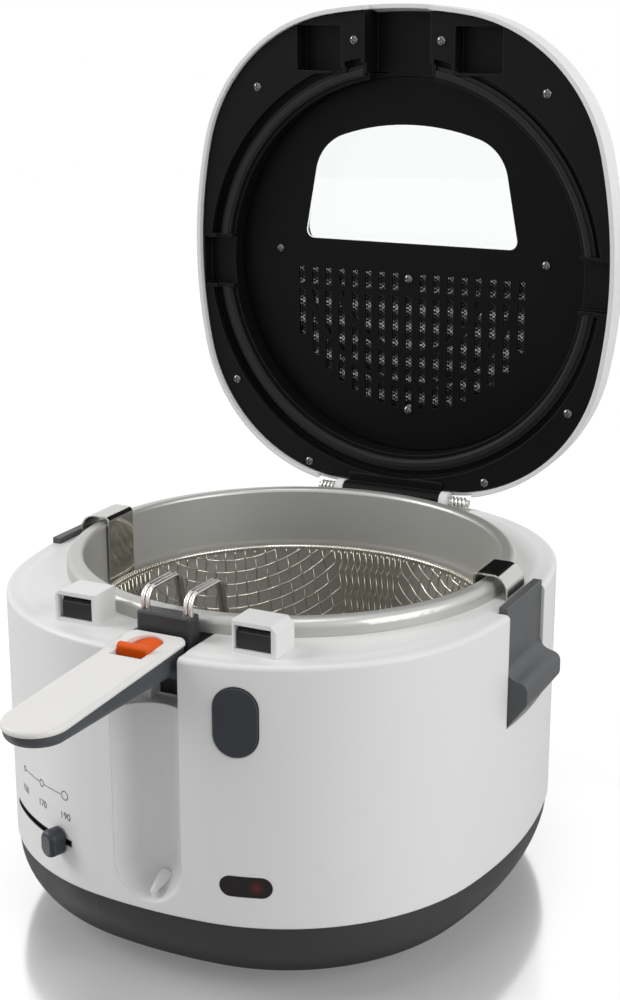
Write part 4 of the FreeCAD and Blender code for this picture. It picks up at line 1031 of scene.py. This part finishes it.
@dataclass
class TemperatureScale:
    """Plain numbers and marks above the temperature slot, printed on the curved wall."""

    corner_x: float = -17.46
    corner_y: float = -32.93
    wall_radius: float = 117.05
    slot_middle: float = 29.5
    slot_z: float = 63.6
    numbers: tuple[str, ...] = ("150", "170", "190")
    number_angles: tuple[float, ...] = (36.3, 26.2, 16.4)
    number_rise: float = 12.3
    number_height: float = 4.0
    size_per_height: float = 1.35
    number_ink: float = 0.02
    line_rise: float = 25.2
    line_width: float = 0.4
    line_gap: float = 0.8
    line_steps: int = 8
    line_ink: float = 0.04
    mark_radii: tuple[float, ...] = (1.3, 1.8, 2.3)
    mark_width: float = 0.5
    mark_points: int = 33

    def on_wall(self, along: float, up: float, out: float = 0.0) -> Point:
        """A place beside the slot, by its length along and height above the slot line.

        Args:
            along: Millimetres from the slot's middle, to the right.
            up: Millimetres above the slot line.
            out: Millimetres off the wall.

        Returns:
            The point in the shared frame.
        """
        angle = math.radians(self.slot_middle) - along / self.wall_radius
        radius = self.wall_radius + out
        return row(self.corner_x - radius * math.sin(angle), self.corner_y - radius * math.cos(angle),
                   self.slot_z + up)

    def along_of(self, angle: float) -> float:
        """Distance along the slot line of a wall angle."""
        return math.radians(self.slot_middle - angle) * self.wall_radius

    def number(self, text: str, angle: float) -> bpy.types.Object:
        """One printed number.

        Args:
            text: Digits.
            angle: Wall angle of its middle.

        Returns:
            The piece.
        """
        curve = bpy.data.curves.new(f"number_{text}", "FONT")
        curve.body = text
        curve.align_x = "CENTER"
        curve.size = self.number_height * self.size_per_height
        curve.extrude = self.number_ink
        draft = bpy.data.objects.new(f"draft_{text}", curve)
        bpy.context.scene.collection.objects.link(draft)
        bpy.context.view_layer.update()
        mesh = bpy.data.meshes.new_from_object(draft.evaluated_get(bpy.context.evaluated_depsgraph_get()))
        middle = self.along_of(angle)
        verts = [self.on_wall(middle + v.co.x, self.number_rise + v.co.y, v.co.z + self.number_ink)
                 for v in mesh.vertices]
        piece = add_mesh(f"scale_{text}", np.array(verts), [tuple(p.vertices) for p in mesh.polygons], False)
        bpy.data.objects.remove(draft)
        bpy.data.meshes.remove(mesh)
        return piece

    def strip(self, name: str, path: Sequence[tuple[float, float]], width: float) -> bpy.types.Object:
        """A printed line along a path of places beside the slot.

        Args:
            name: Piece name.
            path: Along and up values.
            width: Line width in millimetres.

        Returns:
            The piece.
        """
        points = np.array(path, float)
        ahead = np.gradient(points, axis=0)
        ahead /= np.linalg.norm(ahead, axis=1)[:, None]
        side = np.column_stack([-ahead[:, 1], ahead[:, 0]]) * width / 2
        verts: list[Point] = []
        for out in (0.0, self.line_ink):
            for edge in (points - side, points + side):
                verts += [self.on_wall(a, u, out) for a, u in edge]
        n = len(points)
        faces = []
        for i in range(n - 1):
            a, b, c, d = i, i + n, i + 2 * n, i + 3 * n
            faces += [(c, c + 1, d + 1, d), (a, b, b + 1, a + 1), (a, a + 1, c + 1, c), (b, d, d + 1, b + 1)]
        faces += [(0, 2 * n, 3 * n, n), (n - 1, 2 * n - 1, 4 * n - 1, 3 * n - 1)]
        return add_mesh(name, np.array(verts), faces, False)

    def build(self) -> list[bpy.types.Object]:
        """Print the scale.

        Returns:
            The pieces.
        """
        pieces = [self.number(text, angle) for text, angle in zip(self.numbers, self.number_angles)]
        places = [self.along_of(angle) for angle in self.number_angles]
        for label, place, radius in zip(self.numbers, places, self.mark_radii):
            turn = np.linspace(0, 2 * math.pi, self.mark_points)
            circle = [(place + radius * math.cos(t), self.line_rise + radius * math.sin(t)) for t in turn]
            pieces.append(self.strip(f"scale_mark_{label}", circle, self.mark_width))
        for k in (0, 1):
            first = places[k] + self.mark_radii[k] + self.line_gap
            last = places[k + 1] - self.mark_radii[k + 1] - self.line_gap
            steps = range(self.line_steps + 1)
            run = [(first + (last - first) * t / self.line_steps, self.line_rise) for t in steps]
            pieces.append(self.strip(f"scale_line_{k}", run, self.line_width))
        for piece in pieces:
            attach(piece, Body.HOUSING.value)
        return pieces


@dataclass
class Dresser:
    """Gives every node and piece its finish."""

    groups: Groups
    made: dict[str, bpy.types.Material] = field(default_factory=dict)

    def material(self, slot: str) -> bpy.types.Material:
        """The material of a slot, made once.

        Args:
            slot: Slot name in the record.

        Returns:
            The material.
        """
        if slot not in self.made:
            self.made[slot] = FINISHES[slot].make(slot, self.groups)
        return self.made[slot]

    def put(self, piece: bpy.types.Object, slot: str) -> None:
        """Set a piece's only material."""
        piece.data.materials.clear()
        piece.data.materials.append(self.material(slot))

    def dress_nodes(self) -> None:
        """Dress every CAD node by its record slot."""
        for part in frame["record"]["subparts"]:
            self.put(frame["nodes"][part["node"]], part["material_slot"])


def aim(thing: bpy.types.Object, at: Point, to: Point) -> None:
    """Put a camera or lamp in the scene, looking at a point.

    Args:
        thing: The camera or lamp.
        at: Its place.
        to: The point it looks at.
    """
    bpy.context.scene.collection.objects.link(thing)
    thing.location = at
    thing.rotation_euler = (Vector(to) - Vector(at)).to_track_quat("-Z", "Y").to_euler()


@dataclass(frozen=True)
class SoftLamp:
    """A square soft lamp, with its side in metres and its power in watts."""

    name: str
    at: Point
    to: Point
    size: float
    watts: float

    def hang(self) -> None:
        """Put the lamp in the scene."""
        data = bpy.data.lights.new(self.name, "AREA")
        data.shape = "SQUARE"
        data.size = self.size
        data.energy = self.watts
        aim(bpy.data.objects.new(self.name, data), self.at, self.to)


@dataclass
class Studio:
    """Pale floor, soft lamps, white surround and the camera of the photograph."""

    camera_at: Point = row(411.4, -801.4, 467.5)
    camera_to: Point = row(0.0, 26.55, 203.7)
    lens_mm: float = 62.97
    sensor_mm: float = 36.0
    fill: float = 0.36
    floor_colour: float = 0.94
    floor_shade: float = 0.52
    floor_polish: float = 0.62
    floor_gloss: float = 0.15
    floor_lift: float = 0.16
    floor_radius: float = 4.0
    floor_sides: int = 48
    lamps: tuple[SoftLamp, ...] = (
        SoftLamp("key_lamp", (-1.9, -0.8, 1.4), (0.0, 0.0, 0.15), size=1.3, watts=30.0),
        SoftLamp("top_lamp", (0.1, -0.1, 2.1), (0.0, 0.0, 0.1), size=0.5, watts=6.0),
        SoftLamp("side_lamp", (1.9, -0.2, 1.0), (0.0, 0.0, 0.15), size=1.3, watts=20.0),
    )

    def camera(self) -> None:
        """Place the camera."""
        data = bpy.data.cameras.new("studio_camera")
        data.lens = self.lens_mm
        data.sensor_width = self.sensor_mm
        camera = bpy.data.objects.new("studio_camera", data)
        aim(camera, self.camera_at, self.camera_to)
        bpy.context.scene.camera = camera

    def surround(self) -> None:
        """White to the camera, in reflections and through glass; plain fill light elsewhere."""
        world = bpy.data.worlds.new("surround")
        world.use_nodes = True
        bpy.context.scene.world = world
        nodes = Nodes(world.node_tree)
        path = nodes.add("ShaderNodeLightPath")
        seen = nodes.math("ADD", path.outputs["Is Camera Ray"], path.outputs["Is Glossy Ray"], clamp=True)
        seen = nodes.math("ADD", seen, path.outputs["Is Transmission Ray"], clamp=True)
        strength = nodes.math("MULTIPLY_ADD", seen, 1.0 - self.fill, self.fill)
        background = next(n for n in world.node_tree.nodes if n.type == "BACKGROUND")
        background.inputs["Color"].default_value = (1.0, 1.0, 1.0, 1.0)
        nodes.link(strength, background.inputs["Strength"])

    def floor(self) -> None:
        """Lay the pale polished floor: near white to the camera, plainer in the light it throws back."""
        n = self.floor_sides
        turns = [2 * math.pi * k / n for k in range(n)]
        rim = [(self.floor_radius * math.cos(t), self.floor_radius * math.sin(t), 0.0) for t in turns]
        faces = [(0, 1 + k, 1 + (k + 1) % n) for k in range(n)]
        piece = add_mesh("floor", np.array([(0.0, 0.0, 0.0), *rim]), faces)
        material, nodes, shader = start_material("floor_pale")
        path = nodes.add("ShaderNodeLightPath")
        seen = nodes.math("ADD", path.outputs["Is Camera Ray"], path.outputs["Is Transmission Ray"],
                          clamp=True)
        pale = nodes.mix(seen, (self.floor_shade,) * 3, (self.floor_colour,) * 3)
        nodes.link(pale, shader.inputs["Base Color"])
        lift = nodes.mix(seen, (0.0, 0.0, 0.0), (self.floor_lift,) * 3)
        nodes.link(lift, shader.inputs["Emission Color"])
        shader.inputs["Emission Strength"].default_value = 1.0
        shader.inputs["Roughness"].default_value = self.floor_gloss
        shader.inputs["Metallic"].default_value = self.floor_polish
        piece.data.materials.append(material)

    def build(self) -> None:
        """Set the stage."""
        self.camera()
        self.surround()
        self.floor()
        for lamp in self.lamps:
            lamp.hang()


def main() -> None:
    """Build the studio, the pieces and their finishes."""
    logging.basicConfig(level=logging.INFO, format="%(name)s: %(message)s")
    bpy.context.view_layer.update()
    bpy.context.scene.view_settings.view_transform = "Standard"
    Studio().build()
    dresser = Dresser(Groups())
    dresser.dress_nodes()
    log.info("dressed %d nodes", len(frame["nodes"]))
    makers: list[tuple[Callable[[], object], str]] = [
        (WovenBasket().build, Slot.MESH.value),
        (FilterLattice().build, Slot.FILTER.value),
        (CrossScrews("frame_screws").build, Slot.SCREW.value),
        (CrossScrews("plate_screws").build, Slot.SCREW.value),
        (TemperatureScale().build, Slot.INK.value),
    ]
    for maker, slot in makers:
        made = maker()
        for piece in made if isinstance(made, list) else [made]:
            dresser.put(piece, slot)
            log.info("piece %s, %d faces", piece.name, len(piece.data.polygons))


if __name__ == "__main__":
    main()
